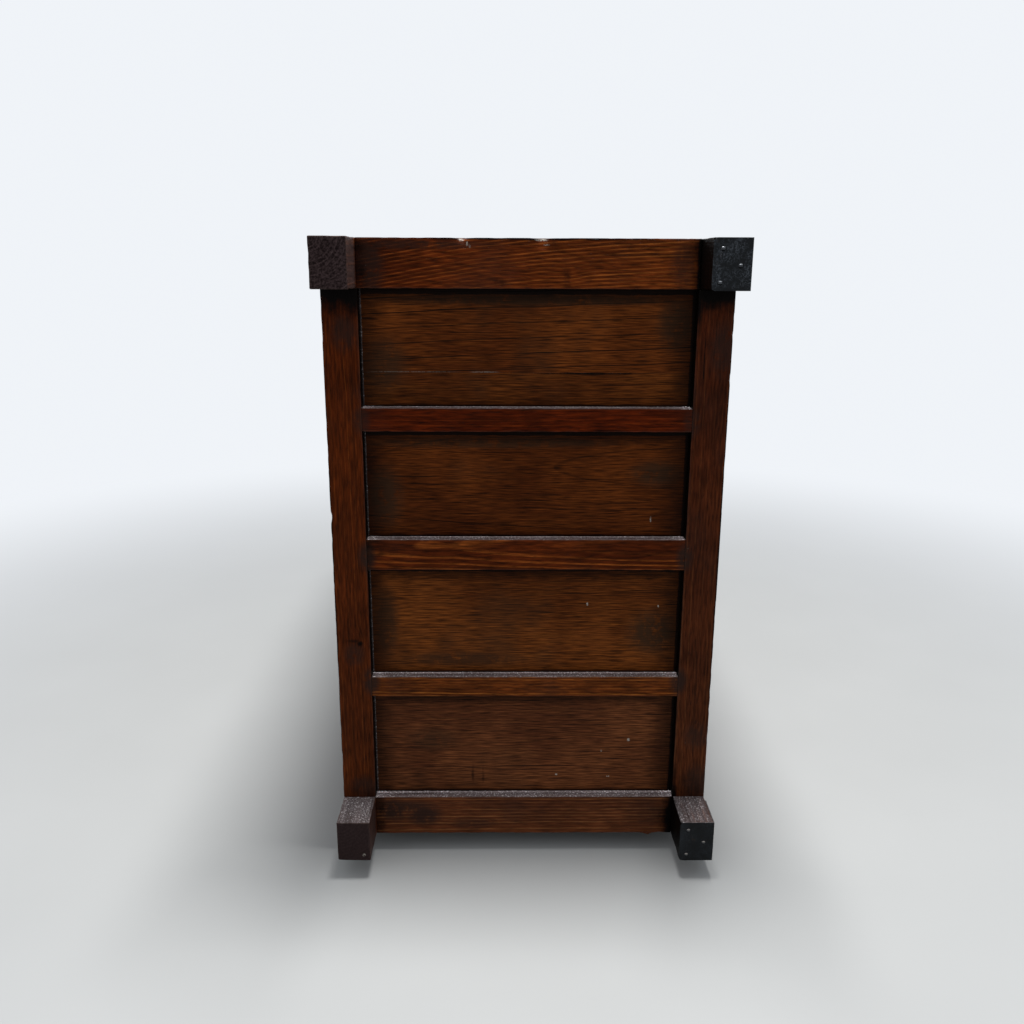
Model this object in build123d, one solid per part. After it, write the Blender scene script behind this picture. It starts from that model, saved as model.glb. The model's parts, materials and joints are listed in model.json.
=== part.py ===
from build123d import *
import math
import os

# Wheeled chest: a post and beam case that rolls sideways on four wooden wheels.
# Its front holds two sliding doors over two small drawers, a wide drawer and a locker.
# Millimetres. +Z is up, the front faces -Y, and +X is the right hand of the front.
# The origin is on the floor, under the middle of the whole chest.

# Case, overall
case_width = 1090.0
case_depth = 630.0
ground_gap = 33.0

# Four long beams, two at the top and two at the base
beam_overhang = 78.0
beam_depth = 55.0
top_beam_height = 74.0
base_beam_height = 72.0

# Corner posts
post_thickness = 52.0
post_depth = 56.0

# Clear heights of the four tiers, from the floor up
bottom_tier_height = 192.0
third_tier_height = 189.5
second_tier_height = 176.5
top_tier_height = 181.5

# Rails between the tiers
lower_rail_height = 36.0
middle_rail_height = 52.0
upper_rail_height = 37.5
rail_thickness = 38.0

# Panels in the end frames
panel_inset = 20.6
panel_thickness = 10.0
panel_tuck = 6.0
panel_joint_height = 53.0

# Joinery
groove_play = 0.1
groove_spare = 1.0
post_tenon_shoulder = 12.0
post_tenon_length = 30.0
rail_tenon_inset = 6.0
rail_tenon_thickness = 12.0
rail_tenon_length = 24.0
stub_tenon_length = 9.0
rail_tenon_shoulder = 6.0
front_tenon_inset = 22.0
front_tenon_length = 20.0
mortise_play = 0.1
mortise_spare = 1.0

# Boards of the top, the decks, the floor and the back
top_board_thickness = 14.0
top_board_drop = 4.0
top_board_ledge = 6.0
top_board_play = 1.0
top_board_count = 3
deck_thickness = 12.0
floor_board_count = 3
joist_width = 40.0
joist_height = 28.0
joist_end_gap = 3.0
joist_count = 5
back_board_thickness = 12.0
back_board_inset = 8.0
back_board_tuck = 6.0
back_board_count = 4

# Dividers in the front, the guides beside the drawers and the stops behind them
divider_width = 40.0
partition_thickness = 12.0
locker_width = 316.0
guide_height = 25.0
guide_play = 0.3
stop_height = 12.0
stop_length = 15.0
stop_width = 60.0
stop_play = 0.3

# Wheels on two axles, which lie front to back
wheel_top_gap = 7.0
wheel_joist_gap = 7.0
wheel_width = 46.0
wheel_chamfer = 4.0
wheel_side_play = 0.3
axle_radius = 9.0
axle_play = 0.08
axle_seat_play = 0.05
axle_block_width = 70.0
axle_block_thickness = 30.0
axle_block_drop = 13.0
washer_radius = 18.0
washer_thickness = 3.0
linch_pin_radius = 2.5
linch_pin_length = 34.0
linch_pin_play = 0.1

# Sliding doors, the right one in front of the left one
door_thickness = 18.0
door_face_inset = 7.0
door_gap = 5.0
door_overlap = 40.0
door_side_play = 0.3
door_stile_width = 46.0
door_rail_height = 46.0
door_panel_thickness = 6.0
door_panel_inset = 8.0
door_panel_tuck = 5.0
door_bar_width = 16.0
door_bar_inset = 3.0
door_bar_count = 3
door_tongue_thickness = 8.0
door_tongue_play = 0.3
door_seat_gap = 0.3
door_shoulder_gap = 0.8
lower_track_depth = 6.0
upper_track_depth = 12.0
upper_tongue_height = 9.0

# Finger pulls let into the doors
pull_radius = 20.0
pull_rim = 3.0
pull_wall = 1.2
pull_depth = 3.6
pull_pocket_depth = 4.0
pull_pocket_play = 0.3

# Drawers
drawer_back_gap = 65.0
drawer_front_thickness = 22.0
drawer_side_thickness = 12.0
drawer_side_drop = 10.0
drawer_bottom_thickness = 8.0
drawer_bottom_raise = 4.0
drawer_side_play = 1.0
drawer_top_play = 1.7
drawer_seat_gap = 0.3

# Locker door and what it closes against
locker_door_thickness = 20.0
locker_door_play = 0.8
locker_clamp_width = 45.0
locker_stop_width = 10.0
locker_stop_depth = 14.0

# Hinges of the locker door
hinge_low_place = 67.0
hinge_high_place = 35.0
hinge_height = 24.0
hinge_gap = 0.3
knuckle_radius = 4.5
knuckle_stand = 0.3
hinge_pin_radius = 2.5
hinge_pin_play = 0.06
hinge_strap_length = 110.0
hinge_leaf_length = 34.0
hinge_nail_edge = 9.0

# Iron plates and their nails
iron_thickness = 1.5
cap_front_length = 70.0
cap_corner_radius = 6.0
cap_nail_end_shares = ((0.25, 0.79), (0.73, 0.47), (0.22, 0.15))
cap_nail_front_shares = ((0.16, 0.2), (0.16, 0.8), (0.86, 0.2), (0.86, 0.8))
strap_margin = 7.0
strap_arm_height = 26.0
strap_arm_reach = 60.0
strap_corner_radius = 5.0
strap_on_beam = 40.0
top_strap_drop = 35.0
middle_strap_rise = 45.0
middle_strap_drop = 55.0
base_strap_rise = 45.0
strap_nail_edge = 9.0
corner_iron_length = 52.0
corner_iron_width = 16.0
corner_iron_edge = 3.0
case_nail_radius = 3.5
case_nail_height = 2.0
small_nail_radius = 2.5
small_nail_height = 1.4

# Bail handles, their eyes and the plates behind them
bail_radius = 4.0
bail_stand = 12.0
bail_half_width = 50.0
bail_drop = 34.0
bail_stub_reach = 17.0
bail_shoulder_radius = 7.0
bail_grip_radius = 15.0
bail_play = 0.06
eye_radius = 8.0
eye_width = 7.0
eye_place = 40.0
eye_neck_height = 10.0
bail_plate_width = 134.0
bail_plate_height = 62.0
bail_plate_corner = 14.0
bail_plate_nail_edge = 7.0
bail_rise = 14.0
locker_bail_edge = 78.0

# How far a cutting solid runs past what it cuts
overrun = 1.0

# Levels, from the floor up
base_bottom = ground_gap
base_top = base_bottom + base_beam_height
lower_rail_bottom = base_top + bottom_tier_height
lower_rail_top = lower_rail_bottom + lower_rail_height
middle_rail_bottom = lower_rail_top + third_tier_height
middle_rail_top = middle_rail_bottom + middle_rail_height
upper_rail_bottom = middle_rail_top + second_tier_height
upper_rail_top = upper_rail_bottom + upper_rail_height
top_beam_bottom = upper_rail_top + top_tier_height
chest_top = top_beam_bottom + top_beam_height
top_board_top = chest_top - top_board_drop

# The wheels fill the height under the floor boards, just inside the end joists
wheel_radius = (base_top - deck_thickness - wheel_top_gap) / 2
end_joist_inset = post_thickness + joist_end_gap
wheel_setback = end_joist_inset + joist_width + wheel_joist_gap + wheel_radius

# The eyes of the bails stand proud of the front, and the origin allows for them
eye_reach = iron_thickness + bail_stand + eye_radius
front_y = -(case_depth - eye_reach) / 2
back_y = front_y + case_depth

half_width = case_width / 2
half_opening = half_width - post_thickness
beam_end = half_width + beam_overhang
back_board_face = back_board_inset + back_board_thickness
drawer_length = case_depth - drawer_back_gap

# Clear openings along the front
divider_left = -divider_width / 2
divider_right = divider_width / 2
locker_left = half_opening - locker_width
locker_divider_left = locker_left - divider_width

# Each side and each row as a direction, and its outer face
side_sign = {"left": -1, "right": 1}
row_face = {"front": front_y, "back": back_y}
row_inward = {"front": 1, "back": -1}

# Rails of an end frame, as the levels that they fill
rail_levels = {
    "lower": (lower_rail_bottom, lower_rail_top),
    "middle": (middle_rail_bottom, middle_rail_top),
    "upper": (upper_rail_bottom, upper_rail_top),
}

# Tiers of an end frame, as the levels between the rails
tier_levels = (
    (base_top, lower_rail_bottom),
    (lower_rail_top, middle_rail_bottom),
    (middle_rail_top, upper_rail_bottom),
    (upper_rail_top, top_beam_bottom),
)


def side_x(side, inward):
    """The x that lies a distance in from the outer face of an end frame."""
    return side_sign[side] * (half_width - inward)


def row_y(row, inward):
    """The y that lies a distance in from the front or the back face of the posts."""
    return row_face[row] + row_inward[row] * inward


def block(x0, x1, y0, y1, z0, z1):
    """A straight box between two corners, given in any order."""
    centre = ((x0 + x1) / 2, (y0 + y1) / 2, (z0 + z1) / 2)
    return Pos(*centre) * Box(abs(x1 - x0), abs(y1 - y0), abs(z1 - z0))


def rod(radius, start, end):
    """A round bar between two points."""
    start, end = Vector(*start), Vector(*end)
    run = end - start
    return Plane(origin=(start + end) / 2, z_dir=run) * Cylinder(radius, run.length)


def node(*pieces):
    """The solids of one node, gathered from its pieces."""
    solids = []
    for piece in pieces:
        solids.extend(piece.solids())
    return solids[0] if len(solids) == 1 else Compound(solids)


def nail_head(point, outward, radius, height):
    """A domed nail head whose flat side lies on a plate."""
    ball_radius = (radius**2 + height**2) / (2 * height)
    rim = math.degrees(math.asin((ball_radius - height) / ball_radius))
    seat = (Align.CENTER, Align.CENTER, Align.MIN)
    dome = Sphere(ball_radius, arc_size1=rim, align=seat)
    return Plane(origin=point, z_dir=outward) * dome


def case_nail(point, outward):
    return nail_head(point, outward, case_nail_radius, case_nail_height)


def small_nail(x, y, z):
    """A small nail head on a plate of a door or a drawer."""
    return nail_head((x, y, z), (0, -1, 0), small_nail_radius, small_nail_height)


# Case frame


def post_tenon(row, side, z0, z1, play=0.0):
    """Tenon at the end of a post, or with play the mortise that takes it."""
    edge = post_tenon_shoulder - play
    return block(
        side_x(side, edge),
        side_x(side, post_thickness - edge),
        row_y(row, edge),
        row_y(row, post_depth - edge),
        z0,
        z1,
    )


def end_rail_tenon(row, side, start, reach, z0, z1, play=0.0):
    """Tenon at the end of an end rail, or with play the mortise that takes it."""
    return block(
        side_x(side, rail_tenon_inset - play),
        side_x(side, rail_tenon_inset + rail_tenon_thickness + play),
        row_y(row, start),
        row_y(row, start - reach),
        z0 + rail_tenon_shoulder - play,
        z1 - rail_tenon_shoulder + play,
    )


def front_rail_tenon(side, reach, z0, z1, play=0.0):
    """Tenon at the end of a front rail, or with play the mortise that takes it."""
    return block(
        side_x(side, post_thickness),
        side_x(side, post_thickness - reach),
        row_y("front", front_tenon_inset - play),
        row_y("front", front_tenon_inset + rail_tenon_thickness + play),
        z0 + rail_tenon_shoulder - play,
        z1 - rail_tenon_shoulder + play,
    )


def panel_groove(side, y0, y1, z0, z1):
    """Groove in an end frame for the edge of a panel."""
    return block(
        side_x(side, panel_inset - groove_play),
        side_x(side, panel_inset + panel_thickness + groove_play),
        y0,
        y1,
        z0,
        z1,
    )


def post(row, side):
    """Corner post with a tenon at each end, grooves and rail mortises."""
    body = block(
        side_x(side, 0),
        side_x(side, post_thickness),
        row_y(row, 0),
        row_y(row, post_depth),
        base_top,
        top_beam_bottom,
    )
    body -= panel_groove(
        side,
        row_y(row, post_depth - panel_tuck - groove_spare),
        row_y(row, post_depth + overrun),
        base_top - overrun,
        top_beam_bottom + overrun,
    )
    for z0, z1 in rail_levels.values():
        reach = rail_tenon_length + mortise_spare
        body -= end_rail_tenon(row, side, post_depth, reach, z0, z1, mortise_play)
    if row == "front":
        for level in ("lower", "middle"):
            z0, z1 = rail_levels[level]
            reach = front_tenon_length + mortise_spare
            body -= front_rail_tenon(side, reach, z0, z1, mortise_play)
    else:
        body -= block(
            side_x(side, post_thickness - back_board_tuck - groove_spare),
            side_x(side, post_thickness + overrun),
            row_y(row, back_board_inset - groove_play),
            row_y(row, back_board_face + groove_play),
            base_top - overrun,
            top_beam_bottom + overrun,
        )
    body += post_tenon(row, side, base_top - post_tenon_length, base_top)
    body += post_tenon(row, side, top_beam_bottom, top_beam_bottom + post_tenon_length)
    return body


def door_track_y(track):
    """The front faces of the sliding doors' tongues, in the two tracks from the front."""
    tongue_inset = (door_thickness - door_tongue_thickness) / 2
    return row_y("front", door_face_inset + track * (door_thickness + door_gap) + tongue_inset)


def door_tracks(z0, z1):
    """The two grooves that the sliding doors run in."""
    grooves = []
    for track in range(2):
        y0 = door_track_y(track) - door_tongue_play
        y1 = door_track_y(track) + door_tongue_thickness + door_tongue_play
        grooves.append(block(-half_opening, half_opening, y0, y1, z0, z1))
    return grooves


def beam(row, z0, z1):
    """Long beam with square ends and a mortise for each end rail."""
    body = block(-beam_end, beam_end, row_y(row, 0), row_y(row, beam_depth), z0, z1)
    for side in side_sign:
        reach = stub_tenon_length + mortise_spare
        body -= end_rail_tenon(row, side, beam_depth, reach, z0, z1, mortise_play)
    return body


def panel_corner_pocket(row, side, z0, z1):
    """Pocket in a beam for the corner of the panel beside it."""
    y0 = row_y(row, post_depth - panel_tuck - groove_spare)
    return panel_groove(side, y0, row_y(row, beam_depth + overrun), z0, z1)


def base_beam(row):
    body = beam(row, base_bottom, base_top)
    depth = post_tenon_length + mortise_spare
    pocket_depth = panel_tuck + groove_spare
    for side in side_sign:
        body -= post_tenon(row, side, base_top - depth, base_top, mortise_play)
        body -= panel_corner_pocket(row, side, base_top - pocket_depth, base_top + overrun)
    return body


def top_board_rebate():
    """The space cut round the top opening for the top boards, open above."""
    x = half_opening + top_board_ledge + top_board_play
    inset = beam_depth - top_board_ledge - top_board_play
    z0 = top_board_top - top_board_thickness
    return block(-x, x, row_y("front", inset), row_y("back", inset), z0, chest_top + overrun)


def top_beam(row):
    """Top beam, with a rebate for the top boards and at the front the door tracks."""
    body = beam(row, top_beam_bottom, chest_top)
    depth = post_tenon_length + mortise_spare
    z0, z1 = top_beam_bottom - overrun, top_beam_bottom + panel_tuck + groove_spare
    for side in side_sign:
        body -= post_tenon(row, side, top_beam_bottom, top_beam_bottom + depth, mortise_play)
        body -= panel_corner_pocket(row, side, z0, z1)
    body -= top_board_rebate()
    if row == "front":
        for groove in door_tracks(top_beam_bottom - overrun, top_beam_bottom + upper_track_depth):
            body -= groove
    return body


def end_rail(side, level):
    """Rail of an end frame between two posts, grooved above and below for the panels."""
    z0, z1 = rail_levels[level]
    y0, y1 = row_y("front", post_depth), row_y("back", post_depth)
    body = block(side_x(side, 0), side_x(side, rail_thickness), y0, y1, z0, z1)
    depth = panel_tuck + groove_spare
    body -= panel_groove(side, y0 - overrun, y1 + overrun, z0 - overrun, z0 + depth)
    body -= panel_groove(side, y0 - overrun, y1 + overrun, z1 - depth, z1 + overrun)
    for row in row_face:
        body += end_rail_tenon(row, side, post_depth, rail_tenon_length, z0, z1)
    return body


def beam_rail(side, z0, z1):
    """Thick rail of an end frame between two beams, before its grooves are cut."""
    y0, y1 = row_y("front", beam_depth), row_y("back", beam_depth)
    body = block(side_x(side, 0), side_x(side, post_thickness), y0, y1, z0, z1)
    for row in row_face:
        body += end_rail_tenon(row, side, beam_depth, stub_tenon_length, z0, z1)
    return body


def base_end_rail(side):
    body = beam_rail(side, base_bottom, base_top)
    y0, y1 = row_y("front", post_depth - panel_tuck), row_y("back", post_depth - panel_tuck)
    depth = panel_tuck + groove_spare
    return body - panel_groove(side, y0, y1, base_top - depth, base_top + overrun)


def top_end_rail(side):
    """Top rail of an end frame, grooved below for a panel and rebated for the top boards."""
    body = beam_rail(side, top_beam_bottom, chest_top)
    y0, y1 = row_y("front", post_depth - panel_tuck), row_y("back", post_depth - panel_tuck)
    depth = panel_tuck + groove_spare
    body -= panel_groove(side, y0, y1, top_beam_bottom - overrun, top_beam_bottom + depth)
    return body - top_board_rebate()


def end_panels(side):
    """The four panels of an end frame, the top one made of two boards."""
    boards = []
    y0, y1 = row_y("front", post_depth - panel_tuck), row_y("back", post_depth - panel_tuck)
    x0, x1 = side_x(side, panel_inset), side_x(side, panel_inset + panel_thickness)
    for tier, (low, high) in enumerate(tier_levels):
        z0, z1 = low - panel_tuck, high + panel_tuck
        is_top = tier == len(tier_levels) - 1
        joints = [low + panel_joint_height] if is_top else []
        levels = [z0, *joints, z1]
        for lower, upper in zip(levels, levels[1:]):
            boards.append(block(x0, x1, y0, y1, lower, upper))
    return node(*boards)


def front_rail(level):
    """Rail across the front between the front posts."""
    z0, z1 = rail_levels[level]
    y0, y1 = row_y("front", 0), row_y("front", post_depth)
    body = block(-half_opening, half_opening, y0, y1, z0, z1)
    if level == "middle":
        for groove in door_tracks(z1 - lower_track_depth, z1 + overrun):
            body -= groove
    for side in side_sign:
        body += front_rail_tenon(side, front_tenon_length, z0, z1)
    return body


# Boards


def board_row(x0, x1, y0, y1, z0, z1, count):
    """Equal boards laid side by side from front to back."""
    width = (y1 - y0) / count
    boards = []
    for place in range(count):
        low = y0 + place * width
        boards.append(block(x0, x1, low, low + width, z0, z1))
    return node(*boards)


def top_boards():
    x = half_opening + top_board_ledge
    y0 = row_y("front", beam_depth - top_board_ledge)
    y1 = row_y("back", beam_depth - top_board_ledge)
    z0 = top_board_top - top_board_thickness
    return board_row(-x, x, y0, y1, z0, top_board_top, top_board_count)


def floor_boards():
    y0, y1 = row_y("front", beam_depth), row_y("back", beam_depth)
    z0 = base_top - deck_thickness
    return board_row(-half_opening, half_opening, y0, y1, z0, base_top, floor_board_count)


def deck(level):
    """Board at the level of a rail, notched round the back posts."""
    z1 = rail_levels[level][1]
    z0 = z1 - deck_thickness
    x = half_width - rail_thickness
    y0, y1 = row_y("front", post_depth), row_y("back", post_depth)
    body = block(-x, x, y0, y1, z0, z1)
    body += block(-half_opening, half_opening, y1, row_y("back", back_board_face), z0, z1)
    return body


def back_boards():
    """Wide boards across the back, with their ends in the grooves of the back posts."""
    x = half_opening + back_board_tuck
    y0, y1 = row_y("back", back_board_face), row_y("back", back_board_inset)
    height = (top_beam_bottom - base_top) / back_board_count
    boards = []
    for place in range(back_board_count):
        low = base_top + place * height
        boards.append(block(-x, x, y0, y1, low, low + height))
    return node(*boards)


def floor_joists():
    """Short joists under the floor boards, between the base beams."""
    z1 = base_top - deck_thickness
    end_x = half_width - end_joist_inset - joist_width / 2
    joists = []
    for place in range(joist_count):
        x = end_x * (2 * place / (joist_count - 1) - 1)
        joists.append(
            block(
                x - joist_width / 2,
                x + joist_width / 2,
                row_y("front", beam_depth),
                row_y("back", beam_depth),
                z1 - joist_height,
                z1,
            )
        )
    return node(*joists)


def partition(x, z0, z1, deck_bottom):
    """Front divider with its left face at x, and the board that runs back from it."""
    front = block(x, x + divider_width, row_y("front", 0), row_y("front", post_depth), z0, z1)
    middle = x + divider_width / 2
    board = block(
        middle - partition_thickness / 2,
        middle + partition_thickness / 2,
        row_y("front", post_depth),
        row_y("back", back_board_face),
        z0,
        deck_bottom,
    )
    return [front, board]


def drawer_partition():
    deck_bottom = middle_rail_top - deck_thickness
    return node(*partition(divider_left, lower_rail_top, middle_rail_bottom, deck_bottom))


def locker_partition():
    """Divider beside the locker, with the strip that its door closes against."""
    deck_bottom = lower_rail_top - deck_thickness
    pieces = partition(locker_divider_left, base_top, lower_rail_bottom, deck_bottom)
    stop_face = locker_door_thickness + stop_play
    strip = block(
        locker_left,
        locker_left + locker_stop_width,
        row_y("front", stop_face),
        row_y("front", stop_face + locker_stop_depth),
        base_top,
        lower_rail_bottom,
    )
    return node(*pieces, strip)


def strip_front_to_back(x0, x1, z0, z1):
    """A strip of wood between the front and the back posts."""
    return block(x0, x1, row_y("front", post_depth), row_y("back", post_depth), z0, z1)


def drawer_runners():
    """Strips that carry the decks, guide the drawers and stop them at the back."""
    strips = []
    for side in side_sign:
        x0, x1 = side_x(side, rail_thickness), side_x(side, post_thickness)
        for z0, z1 in rail_levels.values():
            strips.append(strip_front_to_back(x0, x1, z0, z1 - deck_thickness))
        guide_face = side_x(side, post_thickness - guide_play)
        z = lower_rail_top
        strips.append(strip_front_to_back(x0, guide_face, z, z + guide_height))
    x0 = side_x("left", rail_thickness)
    x1 = side_x("left", post_thickness - guide_play)
    strips.append(strip_front_to_back(x0, x1, base_top, base_top + guide_height))
    for x, z, sides in (
        (0, lower_rail_top, (-1, 1)),
        (locker_divider_left + divider_width / 2, base_top, (-1,)),
    ):
        for sign in sides:
            x0 = x + sign * partition_thickness / 2
            x1 = x + sign * (divider_width / 2 - guide_play)
            strips.append(strip_front_to_back(x0, x1, z, z + guide_height))
    for x0, x1, z, _ in drawer_openings.values():
        middle = (x0 + x1) / 2
        y0 = row_y("front", drawer_length + stop_play)
        strips.append(
            block(
                middle - stop_width / 2,
                middle + stop_width / 2,
                y0,
                y0 + stop_length,
                z,
                z + stop_height,
            )
        )
    return node(*strips)


# Wheels and axles


def axle_place(side):
    return side_x(side, wheel_setback)


def wheel_near_face(row):
    """How far in from the front or back a wheel's outer face lies."""
    return beam_depth + axle_block_thickness + washer_thickness + wheel_side_play


def axle_rod(side, row0, inward0, row1, inward1, radius):
    """A round bar on the line of an axle."""
    x = axle_place(side)
    start = (x, row_y(row0, inward0), wheel_radius)
    end = (x, row_y(row1, inward1), wheel_radius)
    return rod(radius, start, end)


def axle_blocks():
    """Blocks on the inner faces of the base beams that hold the axles."""
    blocks = []
    for side in side_sign:
        hole = axle_rod(
            side,
            "front",
            beam_depth - overrun,
            "back",
            beam_depth - overrun,
            axle_radius + axle_seat_play,
        )
        for row in row_face:
            x = axle_place(side)
            body = block(
                x - axle_block_width / 2,
                x + axle_block_width / 2,
                row_y(row, beam_depth),
                row_y(row, beam_depth + axle_block_thickness),
                base_bottom - axle_block_drop,
                base_top - deck_thickness,
            )
            blocks.append(body - hole)
    return node(*blocks)


def linch_pin_place(row):
    """How far in from the front or back a linch pin crosses its axle."""
    inner_face = wheel_near_face(row) + wheel_width + wheel_side_play + washer_thickness
    return inner_face + linch_pin_radius + linch_pin_play


def linch_pin(row, side, length, radius):
    x = axle_place(side)
    y = row_y(row, linch_pin_place(row))
    half = length / 2
    return rod(radius, (x - half, y, wheel_radius), (x + half, y, wheel_radius))


def axle(side):
    """Iron axle between the base beams, cross-drilled for its linch pins."""
    bar = axle_rod(side, "front", beam_depth, "back", beam_depth, axle_radius)
    for row in row_face:
        length = 2 * (axle_radius + overrun)
        bar -= linch_pin(row, side, length, linch_pin_radius + linch_pin_play)
    return bar


def axle_washers():
    """Washers on both sides of each wheel, and the linch pins that keep them there."""
    pieces = []
    for side in side_sign:
        for row in row_face:
            outer = beam_depth + axle_block_thickness
            inner = wheel_near_face(row) + wheel_width + wheel_side_play
            for start in (outer, inner):
                end = start + washer_thickness
                disc = axle_rod(side, row, start, row, end, washer_radius)
                bore = axle_rod(
                    side,
                    row,
                    start - overrun,
                    row,
                    end + overrun,
                    axle_radius + axle_seat_play,
                )
                pieces.append(disc - bore)
            pieces.append(linch_pin(row, side, linch_pin_length, linch_pin_radius))
    return node(*pieces)


def wheel(row, side):
    """Solid wooden wheel with broken edges and a bore that runs on the axle."""
    start = wheel_near_face(row)
    end = start + wheel_width
    disc = axle_rod(side, row, start, row, end, wheel_radius)
    disc = chamfer(disc.edges().filter_by(GeomType.CIRCLE), wheel_chamfer)
    bore = axle_rod(side, row, start - overrun, row, end + overrun, axle_radius + axle_play)
    return disc - bore


# Iron plates for doors and drawers


def corner_iron(x, z, x_sign, z_sign, face_y):
    """L-shaped plate near a corner of a door or a drawer front, with its nails."""
    x0 = x + x_sign * corner_iron_edge
    z0 = z + z_sign * corner_iron_edge
    y0 = face_y - iron_thickness
    x_far = x0 + x_sign * corner_iron_length
    z_far = z0 + z_sign * corner_iron_length
    plate = block(x0, x_far, y0, face_y, z0, z0 + z_sign * corner_iron_width)
    plate += block(x0, x0 + x_sign * corner_iron_width, y0, face_y, z0, z_far)
    nail_edge = corner_iron_width / 2
    places = (
        (x0 + x_sign * nail_edge, z0 + z_sign * nail_edge),
        (x_far - x_sign * nail_edge, z0 + z_sign * nail_edge),
        (x0 + x_sign * nail_edge, z_far - z_sign * nail_edge),
    )
    return [plate] + [small_nail(nail_x, y0, nail_z) for nail_x, nail_z in places]


def corner_irons(x0, x1, z0, z1, face_y):
    """The four corner plates of one door or drawer front."""
    pieces = []
    for x, x_sign in ((x0, 1), (x1, -1)):
        for z, z_sign in ((z0, 1), (z1, -1)):
            pieces.extend(corner_iron(x, z, x_sign, z_sign, face_y))
    return pieces


def bail_pivot(x, z, face_y):
    """The middle of a bail's pivot line, for a plate whose middle is at x, z."""
    return x, face_y - iron_thickness - bail_stand, z + bail_rise


def bail_plate(x, z, face_y):
    """Plate behind a bail, with its nails and the two eyes that the bail hangs in."""
    y0 = face_y - iron_thickness
    half_x, half_z = bail_plate_width / 2, bail_plate_height / 2
    plate = block(x - half_x, x + half_x, y0, face_y, z - half_z, z + half_z)
    plate = chamfer(plate.edges().filter_by(Axis.Y), bail_plate_corner)
    pieces = [plate]
    for x_sign in (-1, 1):
        nail_x = x + x_sign * (half_x - bail_plate_nail_edge)
        pieces.append(small_nail(nail_x, y0, z))
    _, pivot_y, pivot_z = bail_pivot(x, z, face_y)
    for x_sign in (-1, 1):
        eye_x = x + x_sign * eye_place
        low, high = eye_x - eye_width / 2, eye_x + eye_width / 2
        eye = rod(eye_radius, (low, pivot_y, pivot_z), (high, pivot_y, pivot_z))
        half_neck = eye_neck_height / 2
        eye += block(low, high, pivot_y, y0, pivot_z - half_neck, pivot_z + half_neck)
        eye -= rod(
            bail_radius + bail_play,
            (low - overrun, pivot_y, pivot_z),
            (high + overrun, pivot_y, pivot_z),
        )
        pieces.append(eye)
    return pieces


def bail(x, z, face_y):
    """Round iron bail that hangs from its two eyes, in one bar with turned-in ends."""
    x, y, z = bail_pivot(x, z, face_y)
    stub = bail_half_width - bail_stub_reach
    corners = (
        (x - stub, y, z),
        (x - bail_half_width, y, z),
        (x - bail_half_width, y, z - bail_drop),
        (x + bail_half_width, y, z - bail_drop),
        (x + bail_half_width, y, z),
        (x + stub, y, z),
    )
    turns = [bail_shoulder_radius, bail_grip_radius, bail_grip_radius, bail_shoulder_radius]
    path = FilletPolyline(*corners, radius=turns)
    section = Plane(origin=path @ 0, z_dir=path % 0) * Circle(bail_radius)
    return sweep(section, path=path)


# Sliding doors

door_width = half_opening + door_overlap / 2 - door_side_play
door_low = middle_rail_top + door_shoulder_gap
door_high = top_beam_bottom - door_shoulder_gap
door_tongue_low = middle_rail_top - lower_track_depth + door_seat_gap
door_tongue_high = top_beam_bottom + upper_tongue_height
door_left_x = {
    "left": -half_opening + door_side_play,
    "right": half_opening - door_side_play - door_width,
}
door_track = {"left": 1, "right": 0}


def door_face(side):
    """The y of a sliding door's front face."""
    inset = door_face_inset + door_track[side] * (door_thickness + door_gap)
    return row_y("front", inset)


def door_stile(side, x):
    """Upright of a door frame with its left face at x, tongued above and below."""
    y = door_face(side)
    tongue_y = door_track_y(door_track[side])
    x1 = x + door_stile_width
    body = block(x, x1, y, y + door_thickness, door_low, door_high)
    tongue_back = tongue_y + door_tongue_thickness
    body += block(x, x1, tongue_y, tongue_back, door_tongue_low, door_low)
    body += block(x, x1, tongue_y, tongue_back, door_high, door_tongue_high)
    return body


def door_cross_rail(side, x0, x1, z0, z1, tongue_z0, tongue_z1):
    """Cross rail of a door frame with the tongue on its outer edge."""
    y = door_face(side)
    tongue_y = door_track_y(door_track[side])
    body = block(x0, x1, y, y + door_thickness, z0, z1)
    body += block(x0, x1, tongue_y, tongue_y + door_tongue_thickness, tongue_z0, tongue_z1)
    return body


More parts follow.
